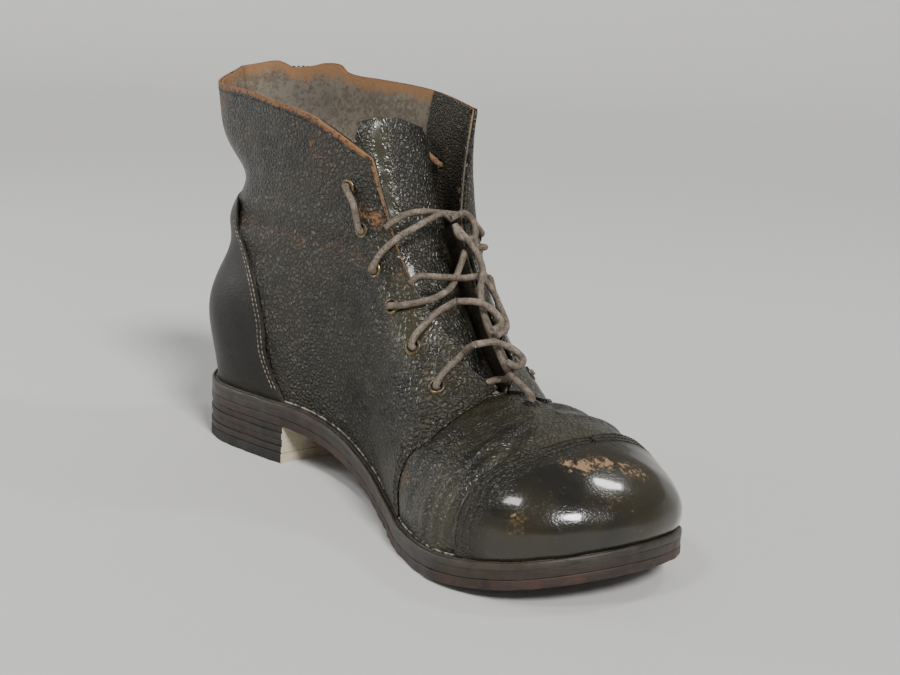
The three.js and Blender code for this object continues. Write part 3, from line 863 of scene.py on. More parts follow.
def both_sides(share):
    """Side and distance from the middle for a sheet that runs across the foot from one side to the other."""
    around = 2 * share - 1
    return np.where(around < 0, INNER, OUTER), np.abs(around)


def rounded(edge, depth, reach):
    """How far a cut edge sinks as it rounds over, at edge millimetres in from it."""
    return depth * (1 - np.sqrt(1 - (1 - np.clip(edge / reach, 0, 1)) ** 2))


# ---- Wear, as side, u, v, radius in millimetres and strength ----
QUARTER_RUBS = [
    (INNER, 0.43, 0.72, 8, 0.85), (INNER, 0.46, 0.84, 8, 0.95), (INNER, 0.555, 0.9, 7, 0.6),
    (INNER, 0.52, 0.93, 8, 0.6), (INNER, 0.34, 0.8, 30, 0.6), (INNER, 0.1, 0.85, 34, 0.6),
    (INNER, 0.22, 0.75, 30, 0.5), (INNER, 0.42, 0.62, 22, 0.35), (INNER, 0.3, 0.62, 26, 0.4),
    (INNER, 0.3, 0.3, 24, 0.34), (INNER, 0.48, 0.3, 30, 0.3), (INNER, 0.6, 0.75, 10, 0.5),
    (OUTER, 0.4, 0.6, 24, 0.4), (OUTER, 0.2, 0.9, 26, 0.45),
    (OUTER, 0.6, 0.3, 20, 0.4), (OUTER, 0.68, 0.85, 9, 0.5),
]
VAMP_RUBS = [
    (INNER, 0.655, 0.2, 10, 0.75), (INNER, 0.69, 0.16, 10, 0.6), (INNER, 0.74, 0.3, 9, 0.4),
    (OUTER, 0.7, 0.3, 14, 0.5), (OUTER, 0.76, 0.5, 12, 0.4),
]
CAP_RUBS = [
    (INNER, 0.89, 0.70, 7, 0.9), (INNER, 0.915, 0.73, 7, 1.0), (INNER, 0.945, 0.76, 6, 0.95),
    (INNER, 0.98, 0.75, 6, 0.9), (OUTER, 0.985, 0.68, 8, 0.85), (INNER, 0.845, 0.26, 5, 0.7),
    (OUTER, 0.96, 0.62, 9, 0.7), (INNER, 0.96, 0.5, 14, 0.45), (INNER, 0.88, 0.45, 12, 0.4),
    (OUTER, 0.9, 0.6, 9, 0.5), (OUTER, 0.86, 0.3, 8, 0.45),
]
COUNTER_RUBS = [(INNER, 0.05, 0.5, 8, 0.45), (OUTER, 0.1, 0.4, 12, 0.4)]


def spots(side, u, v, places):
    """Soft round marks at the given places."""
    points = last_point(side, u, v)
    made = np.zeros(points.shape[:-1])
    for one, spot_u, spot_v, radius, strength in places:
        away = np.linalg.norm(points - last_point(one, spot_u, spot_v), axis=-1) / radius
        made = np.maximum(made, np.where(np.asarray(side) == one, strength * np.exp(-(away**2)), 0))
    return made


def near_fold(side, u, v, index, width):
    """A soft band along one of the creases."""
    one, line, _, _ = crease_lines[index]
    away = distance_to(last_point(side, u, v), line) / width
    return np.where(np.asarray(side) == one, np.exp(-(away**2)), 0)


# ---- Upper ----
def holes_for(side, lift, radius):
    return [(lift(side, u, v), radius) for u, v in EYELETS[side]]


def eyelet_holes(side, radius=2.7):
    return holes_for(side, lambda *at: on_quarter(*at, -1.0), radius)


def quarter(side):
    """The leather of one side, from the heel's back over the ankle to its seam on the vamp."""

    def place(s, t):
        u = s * QUARTER_FRONT[side](t)
        v = t * QUARTER_TOP[side](u)
        edge = (QUARTER_FRONT[side](t) - u) * ALONG
        points = on_quarter(side, u, v, -rounded(edge, 0.7, 1.4))
        points[:, 2] += COLLAR_WAVE[side](u) * smooth(v, 0.8, 1)
        collar_band = smooth(t, 0.972, 0.988) * (1 - smooth(u, 0.42, 0.44))
        facing_band = (
            smooth(t, 0.982, 0.994) * smooth(u, 0.42, 0.44)
            * (1 - smooth(u, 0.53, 0.56)) * (side == INNER)
        )
        top_rub = 0.25 * smooth(v, 0.8, 1) * (1 - smooth(u, 0.3, 0.45))
        fold = 0.6 * near_fold(side, u, v, 8 if side == INNER else 12, 9)
        rub = np.maximum.reduce([collar_band, facing_band, spots(side, u, v, QUARTER_RUBS) + top_rub, fold])
        shine = 0.35 + 0.6 * bell(u, 0.56, 0.06) * smooth(v, 0.5, 0.75)
        dust = 0.1 + 0.4 * (1 - smooth(v, 0.0, 0.08)) + 0.1 * bell(u, 0.5, 0.1)
        return points, rub, shine, dust

    name = f"quarter_{SIDE_NAMES[side]}"
    return sheet_piece(name, 215, 128, place, side == OUTER, PANEL, eyelet_holes(side))


def vamp():
    """The leather over the forefoot, in one piece over the ridge, running under the quarters and the cap."""

    def place(s, t):
        side, away = both_sides(t)
        v = 1 - away
        u = lerp(lerp(0.657, 0.6, smooth(away, 0.05, 0.3)), station(cap_edge, side, v) + 0.02, s)
        points = on_last(side, u, v, 0.05 + relief(side, u, v))
        creased = sum(near_fold(side, u, v, index, 1.6) for index in range(8))
        rub = np.maximum(spots(side, u, v, VAMP_RUBS), 0.3 * creased)
        dust = 0.1 + 0.3 * np.clip(creased, 0, 1) + 0.5 * (1 - smooth(v, 0.0, 0.07))
        shine = 0.45 + 0.2 * smooth(u, 0.7, 0.75) * (1 - smooth(v, 0.3, 0.9))
        return points, rub, shine, dust

    return sheet_piece("vamp", 130, 220, place, False, PANEL)


def toe_cap():
    """The polished cap over the toes, standing proud of the vamp."""

    def place(s, t):
        side, away = both_sides(t)
        v = 1 - away
        back = station(cap_edge, side, v)
        u = lerp(back, 1, s)
        edge = (u - back) * ALONG
        dents = 0.14 * lumps(last_point(side, u, v), 14, 11)
        points = on_overlay(side, u, v, dents - rounded(edge, 0.8, 1.5))
        shine = 0.4 + 0.6 * smooth(edge, 6, 17)
        dust = 0.05 + 0.35 * (1 - smooth(edge, 2, 14)) + 0.4 * (1 - smooth(v, 0.0, 0.05))
        return points, spots(side, u, v, CAP_RUBS), shine, dust

    return sheet_piece("toe_cap_leather", 140, 180, place, False, PANEL)


def heel_counter():
    """The stiff leather round the heel, in one piece from seam to seam."""

    def place(s, t):
        side, away = both_sides(s)
        v = t * COUNTER_TOP
        corner = 0.03 * (1 - np.sqrt(np.clip(1 - smooth(v, 0.5, COUNTER_TOP) ** 2, 0, 1)))
        front = station(counter_edge, side, v) - corner
        u = away * front
        edge = np.minimum((front - u) * ALONG, (COUNTER_TOP - v) * UPWARDS)
        dents = 0.18 * lumps(last_point(side, u, v), 20, 12)
        points = on_overlay(side, u, v, dents - rounded(edge, 0.8, 1.5))
        dust = 0.08 + 0.5 * (1 - smooth(edge, 0.5, 4)) + 0.5 * (1 - smooth(v, 0.0, 0.05))
        return points, spots(side, u, v, COUNTER_RUBS), 0.5, dust

    return sheet_piece("counter_leather", 200, 95, place, True, PANEL)


def lining():
    """The pale lining inside the leg and foot, from the throat round the heel."""

    def place(s, t):
        side, away = both_sides(s)
        u, v = away * THROAT_END, t * 0.997
        points = on_last(side, u, v, 0.5 * relief(side, u, v) - 2.4)
        wave = np.where(side < 0, COLLAR_WAVE[INNER](u), COLLAR_WAVE[OUTER](u))
        points[:, 2] += wave * smooth(v, 0.8, 1)
        rub = smooth(v, 0.88, 1.02) * (0.8 + 0.2 * (side > 0)) * (1 - smooth(u, 0.43, 0.47))
        return points, rub, 0, 0

    holes = eyelet_holes(INNER, 3.3) + eyelet_holes(OUTER, 3.3)
    return sheet_piece("lining_leather", 240, 70, place, False, 0.9, holes)


def facing_strip(side):
    """The strip of black leather inside each facing, behind the eyelets."""

    def place(s, t):
        u = lerp(0.342, 0.645, s)
        width = lerp(64, 22, smooth(u, 0.36, 0.5))
        drop = width * 0.3 / np.linalg.norm(last_point(side, u, 1.0) - last_point(side, u, 0.7), axis=-1)
        v = 1 - drop * (1 - t)
        return on_last(side, u, v, -PANEL - 1.05 + 0.3 * relief(side, u, v)), 0, 0.35, 0.15

    holes = holes_for(side, lambda *at: on_last(*at, -2.4), 2.9)
    return sheet_piece(f"facing_strip_{SIDE_NAMES[side]}", 150, 36, place, side == OUTER, 0.9, holes)


def tongue():
    """The soft tongue, bent round the foot and creased across where the boot flexes."""
    centre = Route(TONGUE)
    half_turn = 0.8

    def place(s, t):
        along = centre.along(t)
        out = np.stack([along[:, 2], 0 * t, -along[:, 0]], 1)
        out *= np.sign(out[:, :1] + 1e-9)
        bend = (2 * s - 1) * half_turn
        corner = 1 - 0.16 * smooth(t, 0.93, 1.0) ** 2
        narrow = 1 - 0.16 * smooth(t, 0.68, 0.84) * smooth(s, 0.5, 1)
        radius = lerp(15, 25, t) / math.sin(half_turn)
        points = centre.at(t) - out * (radius * (1 - np.cos(bend)))[:, None]
        points[:, 1] += radius * np.sin(bend) * corner * narrow
        folds = 0.35 * lumps(points, 24, 21) + 0.12 * lumps(points, 8, 22)
        folds = folds - 0.7 * bell(t, 0.52 + 0.03 * s, 0.014) - 0.6 * bell(t, 0.62 - 0.04 * s, 0.016)
        folds = folds - 0.5 * bell(t, 0.44 + 0.02 * s, 0.012) + 0.6 * bell(s, 0.3, 0.06) * smooth(t, 0.5, 0.7)
        points = points + out * (folds - 0.3)[:, None]
        points[:, 2] += 2.5 * smooth(t, 0.9, 1) * np.sin(s * 5.2 + 0.6)
        shine = 0.3 + 0.8 * bell(s, 0.2, 0.08) * smooth(t, 0.4, 0.55)
        return points, 0.15, shine, 0.08 + 0.1 * bell(t, 0.52, 0.1)

    return sheet_piece("tongue_leather", 90, 170, place, False, 1.8)


# ---- Sole ----
def level(height):
    return lambda x: height + 0 * x


def midsole_bottom(x):
    return underside(x) + OUTSOLE


def welt_bottom(x):
    return midsole_bottom(x) + MIDSOLE


def edge_section(bottom, top, rounding, setback=0.0):
    """A layer's rounded edge: corners as (setback, height function, rise), from its lower to its upper face."""
    turn = np.linspace(0, math.pi / 2, 4)
    low = [(setback + rounding * (1 - math.sin(a)), bottom, rounding * (1 - math.cos(a))) for a in turn]
    high = [(setback + rounding * (1 - math.cos(a)), top, -rounding * (1 - math.sin(a))) for a in turn]
    return low + high


def section_points(section, row, side, u, extra, waviness, size, seed):
    """The given corners of a section, carried along the sole's edge."""
    edge = outline_point(side, u, np.zeros_like(u))
    setback = np.array([corner[0] for corner in section])[row] + extra
    points = outline_point(side, u, setback + waviness * lumps(edge, size, seed))
    for k, (_, height, rise) in enumerate(section):
        here = row == k
        points[here, 2] = height(edge[here, 0]) + rise
    return points


def layer_piece(name, section, waviness, seed, end_x=None):
    """A layer of the sole from edge to edge, over the whole foot or square across it at end_x."""
    count = len(section)
    ends = {INNER: 1.0, OUTER: 1.0}
    if end_x:
        course = np.linspace(0, 0.5, 4001)
        ends = {side: float(np.interp(end_x, outline_point(side, course, 0 * course)[:, 0], course))
                for side in ends}

    def place(s, t):
        index = np.rint(t * 2 * count).astype(int) % (2 * count)
        side = np.where(index < count, INNER, OUTER)
        row = np.where(index < count, index, 2 * count - 1 - index)
        u = s * np.where(side < 0, ends[INNER], ends[OUTER])
        points = section_points(section, row, side, u, 0, waviness, 7, seed)
        if end_x:
            points[:, 0] = np.where(s > 0.999, end_x, np.minimum(points[:, 0], end_x))
        return points, 0, 0, 0

    piece = sheet_piece(name, 120 if end_x else 220, 2 * count, place, degrees=35)
    if end_x:
        in_edit_mode(
            piece, lambda: bpy.ops.mesh.select_non_manifold(extend=False), bpy.ops.mesh.edge_face_add,
            lambda: bpy.ops.mesh.select_all(action="SELECT"), face_outwards, select="DESELECT", kind="EDGE")
        smooth_shade(piece, 35)
    return piece


def welt_ring():
    """The welt: a strip round the upper, with a stitching groove and a wheeled edge."""
    section = [
        (0.12, welt_bottom, 0.02), (0.0, welt_bottom, 0.25), (0.0, feather, -1.0), (0.35, feather, -0.4),
        (1.1, feather, -0.2), (1.5, feather, -0.75), (1.9, feather, -0.75), (2.3, feather, -0.2),
        (6.2, feather, -0.3), (8.6, feather, -0.3), (8.6, welt_bottom, 0.1),
    ]
    count, inmost = len(section), 3

    def place(s, t):
        index = np.rint(t * count).astype(int) % count
        share = s % 1.0
        side = np.where(share < 0.5, INNER, OUTER)
        u = np.where(share < 0.5, 2 * share, 2 * (1 - share))
        extra = np.where(index >= count - inmost, setback_at(u) - UPPER_SETBACK, 0)
        return section_points(section, index, side, u, extra, 0.1, 9, 31), 0, 0, 0

    return sheet_piece("welt_strip", 640, count, place, degrees=40)


def heel_lifts():
    """The stacked lifts of the heel, with fine lines between them."""
    section = []
    lifts = 4
    low, high = TOP_PIECE + 0.1, HEEL_RAISE - 0.05
    for lift in range(lifts):
        base, head = (low + (high - low) * share / lifts for share in (lift, lift + 1))
        inset = 0.5 * math.sin(1.7 * lift) ** 2
        for extra, height in ((0.4, base), (0.1, base + 0.2), (0, base + 0.6),
                (0, head - 0.6), (0.1, head - 0.2)):
            section.append((extra + inset, level(height), 0.0))
    return layer_piece("heel_lifts", section, 0.22, 5, BREAST_X)


def feather_crust():
    """The pale line of dried polish and dust where the upper meets the welt."""
    points = []
    for side, course in ((INNER, np.linspace(0.0, 1.0, 130)), (OUTER, np.linspace(1.0, 0.0, 130)[1:])):
        for u in course:
            point = outline_point(side, np.array(u), np.array(setback_at(u) - 0.35))
            points.append((point[0], point[1], feather(point[0]) + 0.1))
    return tube_piece("feather_crust", points, 0.55, 1)[0]


def outsole_layer():
    return layer_piece(
        "outsole_leather", edge_section(underside, lambda x: midsole_bottom(x) - 0.1, 0.5), 0.25, 7)


def midsole_layer():
    section = edge_section(lambda x: midsole_bottom(x) + 0.05, lambda x: welt_bottom(x) - 0.05, 0.2, 0.12)
    return layer_piece("midsole_leather", section, 0.15, 8)


def insole_layer():
    inner = setback_at(0.5) + WALL + 3.4
    section = edge_section(lambda x: welt_bottom(x) + 0.3, lambda x: feather(x) + 1.2, 0.5, inner)
    return layer_piece("insole_leather", section, 0.0, 9)


def top_piece():
    return layer_piece("top_piece", edge_section(level(0.0), level(TOP_PIECE - 0.1), 0.7), 0.3, 6, BREAST_X)


# ---- Eyelets: each corner of the ring as (radius, height) in millimetres ----
EYELET_FORM = [
    (4.0, 0.05), (3.9, 0.5), (3.35, 0.82), (2.7, 0.66), (2.25, 0.15), (2.12, -1.6), (2.3, -3.0), (2.9, -3.5),
    (3.7, -3.4), (3.6, -3.1), (2.5, -2.7), (2.55, -0.1),
]


def eyelet_form():
    """A rolled metal eyelet, with its flange outside and its clinched rim inside."""
    deselect_all()
    count = len(EYELET_FORM)
    bpy.ops.mesh.primitive_torus_add(major_segments=26, minor_segments=count, major_radius=3, minor_radius=1)
    form = bpy.context.object
    for vertex in form.data.vertices:
        x, y, z = vertex.co
        corner = math.atan2(z, math.hypot(x, y) - 3) / (2 * math.pi) * count
        radius, height = EYELET_FORM[round(corner) % count]
        around = math.atan2(y, x)
        vertex.co = (radius * math.cos(around), radius * math.sin(around), height)
    in_edit_mode(form, face_outwards)
    return form


def eyelet_frames():
    frames = []
    for side in (INNER, OUTER):
        for u, v in EYELETS[side]:
            along = last_point(side, u + 0.01, v) - last_point(side, u - 0.01, v)
            frames.append((on_quarter(side, u, v), along, last_normal(side, u, v)))
    return frames


# ---- Stitching ----
def stitches_piece(name, size, frames):
    """Stitches at the given frames, each a short rounded bar that dives at both ends."""
    deselect_all()
    bpy.ops.mesh.primitive_uv_sphere_add(segments=8, ring_count=6, radius=1)
    form = bpy.context.object
    in_edit_mode(form, lambda: bpy.ops.transform.resize(value=[part / 2 for part in size]))
    return copies_piece(name, form, frames)


def stitch_row(side, stations, surface, lift, pitch=2.7):
    """Frames along a line of (u, v) stations laid over a surface of the boot."""
    course = Route(stations).at(np.linspace(0, 1, 260))
    u, v = course[:, 0], course[:, 1]
    points, ups = surface(side, u, v, lift), last_normal(side, u, v)
    gone = np.concatenate([[0], np.cumsum(np.linalg.norm(np.diff(points, axis=0), axis=1))])
    count = max(2, int(gone[-1] / pitch))

    def read(values, k, share):
        return np.array([np.interp(gone[-1] * (k + share) / count, gone, values[:, axis]) for axis in range(3)])

    return [(read(points, k, 0.5), read(points, k, 0.8) - read(points, k, 0.2), read(ups, k, 0.5))
            for k in range(count)]


def quarter_seams(side):
    """The two rows that hold the quarter to the vamp, and the rows by its top edges."""
    rows = []
    for inset in (1.9, 4.3):
        stations = [(QUARTER_FRONT[side](v) - inset / ALONG, v) for v in np.linspace(0.03, 0.9, 12)]
        rows += stitch_row(side, stations, on_quarter, 0.08)
    rows += stitch_row(side, [(u, 0.955) for u in np.linspace(0.45, 0.63, 9)], on_quarter, 0.06)
    return rows + stitch_row(side, [(u, 0.972) for u in np.linspace(0.002, 0.42, 14)], on_quarter, 0.02)


def overlay_seams(edge, insets, levels_up, pitch):
    """Rows along the edge of the cap or the counter, on both sides."""
    rows = []
    for side in (INNER, OUTER):
        for inset in insets:
            stations = [(float(station(edge, side, v)) + inset / ALONG, v) for v in levels_up]
            rows += stitch_row(side, stations, on_overlay, 0.1, pitch)
    return rows


def bar_tacks():
    """Short bars of thread where the quarter's edge meets the vamp's seam."""
    rows = []
    for side in (INNER, OUTER):
        for v in 0.3 + 0.007 * np.arange(5):
            rows += stitch_row(side, [(0.622, v), (0.632, v)], on_quarter, 0.3, 3.4)
    return rows


def welt_seam():
    """Stitches lying in the welt's groove."""
    rows = []
    for side in (INNER, OUTER):
        for u in np.arange(0.06, 0.999, 0.0085):
            here, ahead = (outline_point(side, np.array(at), np.array(1.7)) for at in (u, u + 0.002))
            for point in (here, ahead):
                point[2] = feather(point[0]) - 0.7
            rows.append((here, ahead - here, np.array([0.0, 0.0, 1.0])))
    return rows


# ---- Laces ----
LACE = 3.2
# The free cords over the throat, on the last.
FREE_LACE = {
    "lace_loop_upper": [(201, -19, 105), (203, -8, 104), (206, -1, 100), (211, 0, 95), (214, -8, 93)],
    "lace_loop_lower": [
        (218, -21, 89), (219, -11, 89), (222, -3, 86), (228, -1, 82), (231, -7, 80), (228, -11, 82),
    ],
    "lace_knot": [(169, 2, 137), (168, 11, 139), (170, 16, 134), (175, 12, 128), (174, 4, 129), (170, 4, 134)],
    "lace_end": [
        (180, 11, 121), (185, 10, 114), (192, 3, 107), (203, -3, 96), (215, -6, 86), (226, -8, 77),
        (239, -8, 71), (247, -12, 70),
    ],
}


def across(u, share, lift=3.0, down=0.0):
    """A point over the throat: share runs from the inner facing's edge to the outer one's."""
    low, high = on_last(INNER, u, 1.0, 2.5), on_last(OUTER, u, 1.0, 2.5)
    rise = lift * 4 * max(0, share * (1 - share)) - down
    return lerp(low, high, share) + np.array([0.55, 0, 0.83]) * rise


def beside(side, u, v, lift=1.9):
    return on_quarter(side, u, v, lift)


def through(side, index, outwards=True):
    """A lace's way through an eyelet, from inside the boot to its outer face or back."""
    way = [on_quarter(side, *EYELETS[side][index], lift) for lift in (-5.0, -1.5, 1.6)]
    return way if outwards else way[::-1]


def lace_strands():
    """The stretches of lace between the eyelets, from the top of the throat to its foot."""
    inner, outer = INNER, OUTER
    upper, lower, knot, end = (np.array(FREE_LACE[name], float) for name in (
        "lace_loop_upper", "lace_loop_lower", "lace_knot", "lace_end"))
    return [
        through(inner, 0) + [beside(inner, 0.42, 0.745, 2.2)] + through(inner, 1, False),
        through(outer, 0) + [beside(outer, 0.402, 0.685, 2.2)] + through(outer, 1, False),
        [across(0.484, 0.0, 0, 3), across(0.485, 0.09, 2.0), across(0.486, 0.22, 2.4), across(0.491, 0.36, 3.4),
         across(0.498, 0.54, 3.4), across(0.505, 0.75, 4.0), across(0.51, 0.97, 3, -0.6),
         beside(outer, 0.497, 0.82)] + through(outer, 2, False),
        through(inner, 2) + [beside(inner, 0.485, 0.8), across(0.499, 0.06, 3), across(0.5, 0.24, 4.0),
                             across(0.502, 0.42, 6.0), across(0.504, 0.56, 7.0), knot[0] - (0.5, -2, 1)],
        [across(0.536, 0.02, 0, 3), across(0.537, 0.1, 2), across(0.547, 0.31, 3.6), across(0.557, 0.61, 4.6),
         across(0.561, 0.94, 4, -1.6), beside(outer, 0.565, 0.9, 3.4),
         beside(outer, 0.566, 0.84, 2.2)] + through(outer, 4, False),
        through(inner, 3) + [beside(inner, 0.538, 0.82), across(0.558, 0.02, 3), across(0.56, 0.22, 2.4),
                             across(0.557, 0.45, 1.6), across(0.546, 0.66, 4.0), across(0.537, 0.82, 7),
                             end[0] - (1, -2, 1)],
        through(inner, 4) + [beside(inner, 0.568, 0.8), across(0.572, 0.0, 3), across(0.572, 0.08, 6),
                             (upper[0] + across(0.572, 0.1, 6)) / 2, upper[0]],
        [upper[-1], upper[-1] + (-2, 5, -3), across(0.607, 0.8, 3, -1), beside(outer, 0.585, 0.86, 2.4),
         beside(outer, 0.55, 0.8, 2.2)] + through(outer, 3, False),
        through(inner, 5) + [beside(inner, 0.616, 0.82), across(0.612, 0.0, 3),
        (lower[0] + across(0.61, 0.03, 6)) / 2,
                             lower[0]],
        [lower[-1], lower[-1] + (-1, 1, -3), end[5]],
        [across(0.64, 0.0, 0, 3), across(0.645, 0.1, 3), across(0.649, 0.3, 3), across(0.648, 0.5, 2.5),
         across(0.644, 0.8, 0, 3), on_quarter(outer, 0.625, 0.85, -4)] + through(outer, 5)[1:],
        [knot[-1], knot[-1] + (2, 3, -4), end[0] + (-4, -3, 6), end[0]],
        [knot[3], knot[3] + (2, 1, -4), end[0] + (-1, 5, 3), across(0.535, 1.0, 3, -1),
         beside(outer, 0.52, 0.85)],
    ]


def broken_end():
    """The short end that pokes through the outer side's top eyelet, into the boot."""
    u, v = EYELETS[OUTER][0]
    ways = ((u, v, 0.5), (u, v, -3.6), (u - 0.007, v + 0.02, -7.0), (u - 0.02, v + 0.045, -8.6),
            (u - 0.034, v + 0.085, -8.2))
    return [on_quarter(OUTER, *way) for way in ways]


# ---- Choices that a user may change ----
def colour_choice(name, description, default):
    return bpy.props.FloatVectorProperty(name=name, description=description, subtype="COLOR", default=default)


class BootLeather(bpy.types.PropertyGroup):
    """Colours of the leather, from its polish to its raw edges."""

    black: colour_choice("Black", "The polished leather", (0.009, 0.0085, 0.0065))
    olive: colour_choice("Olive", "Worn, dusty patches of the polish", (0.05, 0.045, 0.024))
    brown: colour_choice("Brown", "Leather where the polish is rubbed thin", (0.14, 0.076, 0.04))
    raw: colour_choice("Raw edge", "Bare leather at cut edges and scuffs", (0.36, 0.165, 0.06))


class BootLace(bpy.types.PropertyGroup):
    """The lace."""

    diameter: bpy.props.FloatProperty(
        name="Diameter", description="Thickness of the lace", unit="LENGTH", default=LACE * MM,
        min=0.002, max=0.005)
    colour: colour_choice("Colour", "The lace's leather", (0.15, 0.115, 0.085))
    pale: colour_choice("Rubbed", "The lace where it is rubbed pale", (0.31, 0.25, 0.195))


class BootStage(bpy.types.PropertyGroup):
    """Floor and light."""

    floor: colour_choice("Floor", "Colour of the floor", (0.72, 0.71, 0.69))
    key: bpy.props.FloatProperty(
        name="Main light", description="Strength of the main light", default=2.9, min=0)
    fill: bpy.props.FloatProperty(
        name="Fill light", description="Strength of the small soft lights", unit="POWER", default=5.0, min=0)


# ---- One operator for each piece or group of pieces ----
class BOOT_OT_quarters(bpy.types.Operator):
    """Builds both sides of the upper, in grained leather with raw top edges."""

    bl_idname = "boot.quarters"
    bl_label = "Quarters"

    def execute(self, context):
        for side in (INNER, OUTER):
            dress(quarter(side), "upper", "upper_leather", "upper")
        return {"FINISHED"}


class BOOT_OT_vamp(bpy.types.Operator):
    """Builds the creased leather over the forefoot."""

    bl_idname = "boot.vamp"
    bl_label = "Vamp"

    def execute(self, context):
        dress(vamp(), "vamp", "upper_leather", "upper")
        return {"FINISHED"}


class BOOT_OT_toe_cap(bpy.types.Operator):
    """Builds the polished cap over the toes."""

    bl_idname = "boot.toe_cap"
    bl_label = "Toe cap"

    def execute(self, context):
        dress(toe_cap(), "cap", "cap_leather", "toe_cap")
        return {"FINISHED"}


class BOOT_OT_counter(bpy.types.Operator):
    """Builds the stiff leather round the heel."""

    bl_idname = "boot.counter"
    bl_label = "Heel counter"

    def execute(self, context):
        dress(heel_counter(), "counter", "cap_leather", "heel_counter")
        return {"FINISHED"}


class BOOT_OT_lining(bpy.types.Operator):
    """Builds the suede lining, the insole and the leather strips behind the eyelets."""

    bl_idname = "boot.lining"
    bl_label = "Lining"

    def execute(self, context):
        dress(lining(), "lining", "lining", "upper")
        for side in (INNER, OUTER):
            dress(facing_strip(side), "facing", "upper_leather", "upper")
        dress(insole_layer(), "insole", "lining", "insole")
        return {"FINISHED"}


class BOOT_OT_tongue(bpy.types.Operator):
    """Builds the soft, creased tongue."""

    bl_idname = "boot.tongue"
    bl_label = "Tongue"

    def execute(self, context):
        dress(tongue(), "tongue", "tongue_leather", "tongue")
        return {"FINISHED"}


class BOOT_OT_sole(bpy.types.Operator):
    """Builds the layers of the sole, the welt and the stacked heel."""

    bl_idname = "boot.sole"
    bl_label = "Sole and heel"

    def execute(self, context):
        dress(outsole_layer(), "outsole", "sole_edge", "outsole")
        dress(midsole_layer(), "midsole", "sole_edge", "midsole")
        dress(welt_ring(), "welt", "sole_edge", "welt")
        dress(feather_crust(), "crust", "sole_edge")
        lifts = dress(heel_lifts(), "heel", "sole_edge", "heel_stack")
        tread = dress(top_piece(), "rubber", "heel_rubber", "heel_top_piece")
        for piece in (lifts, tread):
            piece.data.materials.append(materials["breast"])
            for face in piece.data.polygons:
                face.material_index = int(face.normal.x > 0.9)
        return {"FINISHED"}


class BOOT_OT_eyelets(bpy.types.Operator):
    """Sets the twelve metal eyelets."""

    bl_idname = "boot.eyelets"
    bl_label = "Eyelets"

    def execute(self, context):
        nodes = [f"eyelet_{side}_{k}" for side in SIDE_NAMES.values() for k in range(1, 7)]
        dress(copies_piece("eyelets", eyelet_form(), eyelet_frames()), "eyelet", "eyelet_brass", *nodes)
        return {"FINISHED"}


class BOOT_OT_stitching(bpy.types.Operator):
    """Sews the seams of the upper and the welt."""

    bl_idname = "boot.stitching"
    bl_label = "Stitching"

    def execute(self, context):
        cap_seams = overlay_seams(cap_edge, (1.5, 4.3, 7.1), np.linspace(0.04, 1.0, 14), 2.3)
        counter_seams = overlay_seams(counter_edge, (-1.8, -4.0), np.linspace(0.02, 0.5, 12), 2.7)
        dark = quarter_seams(INNER) + quarter_seams(OUTER) + cap_seams + bar_tacks()
        dress(stitches_piece("dark_stitches", (2.2, 0.75, 0.6), dark), "thread", "upper_leather")
        dress(stitches_piece("pale_stitches", (2.3, 0.8, 0.6), counter_seams), "pale_thread", "upper_leather")
        dress(stitches_piece("welt_stitches", (2.5, 0.9, 0.7), welt_seam()), "welt_thread", "sole_edge")
        return {"FINISHED"}


class BOOT_OT_laces(bpy.types.Operator):
    """Threads the lace through the eyelets, and lays its loops and knot."""

    bl_idname = "boot.laces"
    bl_label = "Laces"

    def execute(self, context):
        radius = context.scene.boot_lace.diameter / MM / 2
        tubes = [tube_piece("strand", points, radius, 3)[0] for points in lace_strands()]
        make_active(tubes[0])
        for tube in tubes:
            tube.select_set(True)
        bpy.ops.object.join()
        piece = bpy.context.object
        piece.name = "lace_strands"
        dress(piece, "lace", "lace", "lace_crossings")
        dress(tube_piece("lace_broken_end", broken_end(), radius)[0], "brown_lace", "lace", "lace_crossings")
        for name, points in FREE_LACE.items():
            piece, path, length = tube_piece(name + "_cord", points, radius)
            dress(piece, "lace", "lace", name)
        return {"FINISHED"}


# ---- Camera, light and floor ----
CAMERA_PLACE = (661.04, -410.51, 226.89)
CAMERA_TURN, CAMERA_RISE, CAMERA_ROLL = (math.radians(angle) for angle in (49.79, 12.93, 2.92))
LENS = 54.8
FLAT_FLOOR, FLOOR_RISE = 3.0, 0.12
LIGHT_TARGET = (0.0, 0.0, 0.08)
SUN_WAY, SUN_WIDTH = (0.73, -0.2, 0.66), math.radians(14)
SKY, SKY_STRENGTH = (0.8, 0.82, 0.85, 1), 0.27
# The small lights: place, size, share of the fill strength.
SOFT_LIGHTS = {
    "front_light": ((0.2, -0.8, 1.15), 0.25, 0.7),
    "side_light": ((0.35, 0.75, 1.3), 0.16, 0.6),
    "back_light": ((-1.0, -0.75, 0.45), 0.35, 0.7),
}


def add_light(name, kind, place, power, way):
    deselect_all()
    bpy.ops.object.light_add(type=kind, location=place)
    light = bpy.context.object
    light.name = name
    light.data.energy = power
    light.rotation_euler = way.to_track_quat("Z", "Y").to_euler()
    return light.data


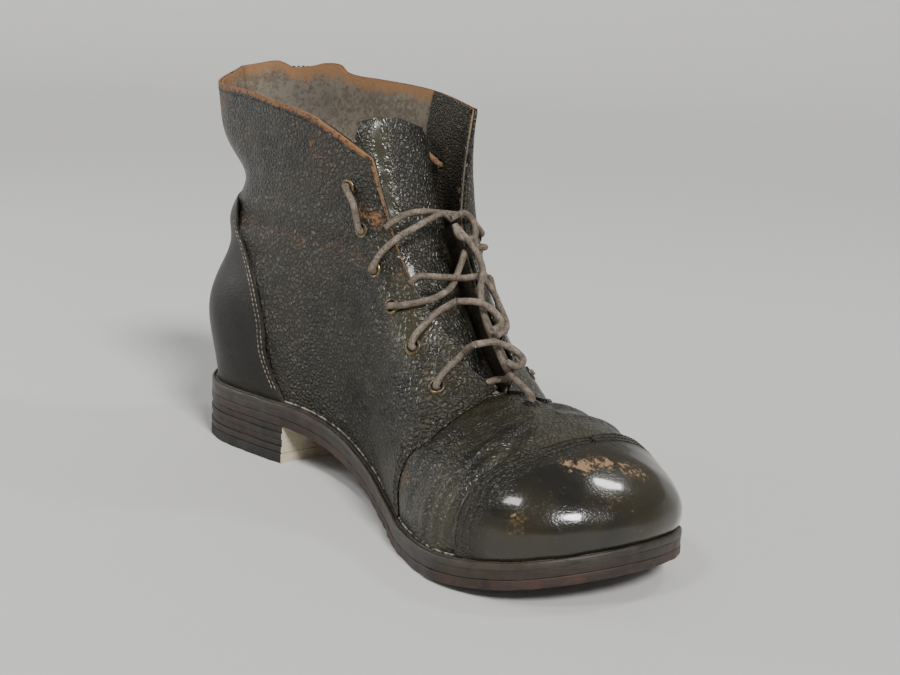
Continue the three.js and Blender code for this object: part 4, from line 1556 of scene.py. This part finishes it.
class BOOT_OT_stage(bpy.types.Operator):
    """Sets the camera, the pale floor and the soft lights."""

    bl_idname = "boot.stage"
    bl_label = "Camera, light and floor"

    def execute(self, context):
        choice = context.scene.boot_stage
        deselect_all()
        bpy.ops.object.camera_add()
        camera = bpy.context.object
        camera.data.lens = LENS
        camera.data.clip_start = 0.01
        turns = ((CAMERA_TURN, "Z"), (math.pi / 2 - CAMERA_RISE, "X"), (CAMERA_ROLL, "Z"))
        camera.matrix_world = Matrix.Translation(placed(CAMERA_PLACE))
        for angle, axis in turns:
            camera.matrix_world = camera.matrix_world @ Matrix.Rotation(angle, 4, axis)
        context.scene.camera = camera

        deselect_all()
        bpy.ops.mesh.primitive_grid_add(x_subdivisions=60, y_subdivisions=60, size=16)
        floor = bpy.context.object
        floor.name = "floor"
        for vertex in floor.data.vertices:
            away = max(0.0, math.hypot(vertex.co.x, vertex.co.y) - FLAT_FLOOR)
            vertex.co.z = FLOOR_RISE * away**2
        smooth_shade(floor)
        material, nodes, shader, place = start_material("Pale Floor")
        pale = tuple(choice.floor)
        tone = nodes.blend(nodes.noise(place, 6.0, 3.0), pale, shade(pale, 0.97))
        nodes.wire(shader, {"Base Color": tone, "Roughness": 0.85})
        floor.data.materials.append(material)

        world = bpy.data.worlds.new("Studio")
        world.use_nodes = True
        background = world.node_tree.nodes["Background"].inputs
        background["Color"].default_value = SKY
        background["Strength"].default_value = SKY_STRENGTH
        context.scene.world = world
        add_light("main_light", "SUN", (1.1, -0.2, 1.0), choice.key, Vector(SUN_WAY)).angle = SUN_WIDTH
        for name, (place, size, share) in SOFT_LIGHTS.items():
            way = Vector(place) - Vector(LIGHT_TARGET)
            add_light(name, "AREA", place, choice.fill * share, way).size = size
        return {"FINISHED"}


PIECES = (
    BOOT_OT_stage, BOOT_OT_laces, BOOT_OT_quarters, BOOT_OT_vamp, BOOT_OT_toe_cap, BOOT_OT_counter,
    BOOT_OT_lining, BOOT_OT_tongue, BOOT_OT_sole, BOOT_OT_eyelets, BOOT_OT_stitching,
)


class BOOT_PT_panel(bpy.types.Panel):
    """Lists the boot's colours, sizes and pieces."""

    bl_idname = "BOOT_PT_panel"
    bl_label = "Laced Ankle Boot"
    bl_space_type = "VIEW_3D"
    bl_region_type = "UI"
    bl_category = "Boot"

    def draw(self, context):
        for name, group in GROUPS.items():
            for choice in group.__annotations__:
                self.layout.prop(getattr(context.scene, name), choice)
        for piece in PIECES:
            self.layout.operator(piece.bl_idname)


GROUPS = {"boot_leather": BootLeather, "boot_lace": BootLace, "boot_stage": BootStage}


def register():
    for part in (*GROUPS.values(), *PIECES, BOOT_PT_panel):
        bpy.utils.register_class(part)
    for name, group in GROUPS.items():
        setattr(bpy.types.Scene, name, bpy.props.PointerProperty(type=group))


def unregister():
    for name in GROUPS:
        delattr(bpy.types.Scene, name)
    for part in (BOOT_PT_panel, *PIECES, *GROUPS.values()):
        bpy.utils.unregister_class(part)


def main():
    register()
    make_materials()
    for piece in PIECES:
        group, name = piece.bl_idname.split(".")
        getattr(getattr(bpy.ops, group), name)()


if __name__ == "__main__":
    main()
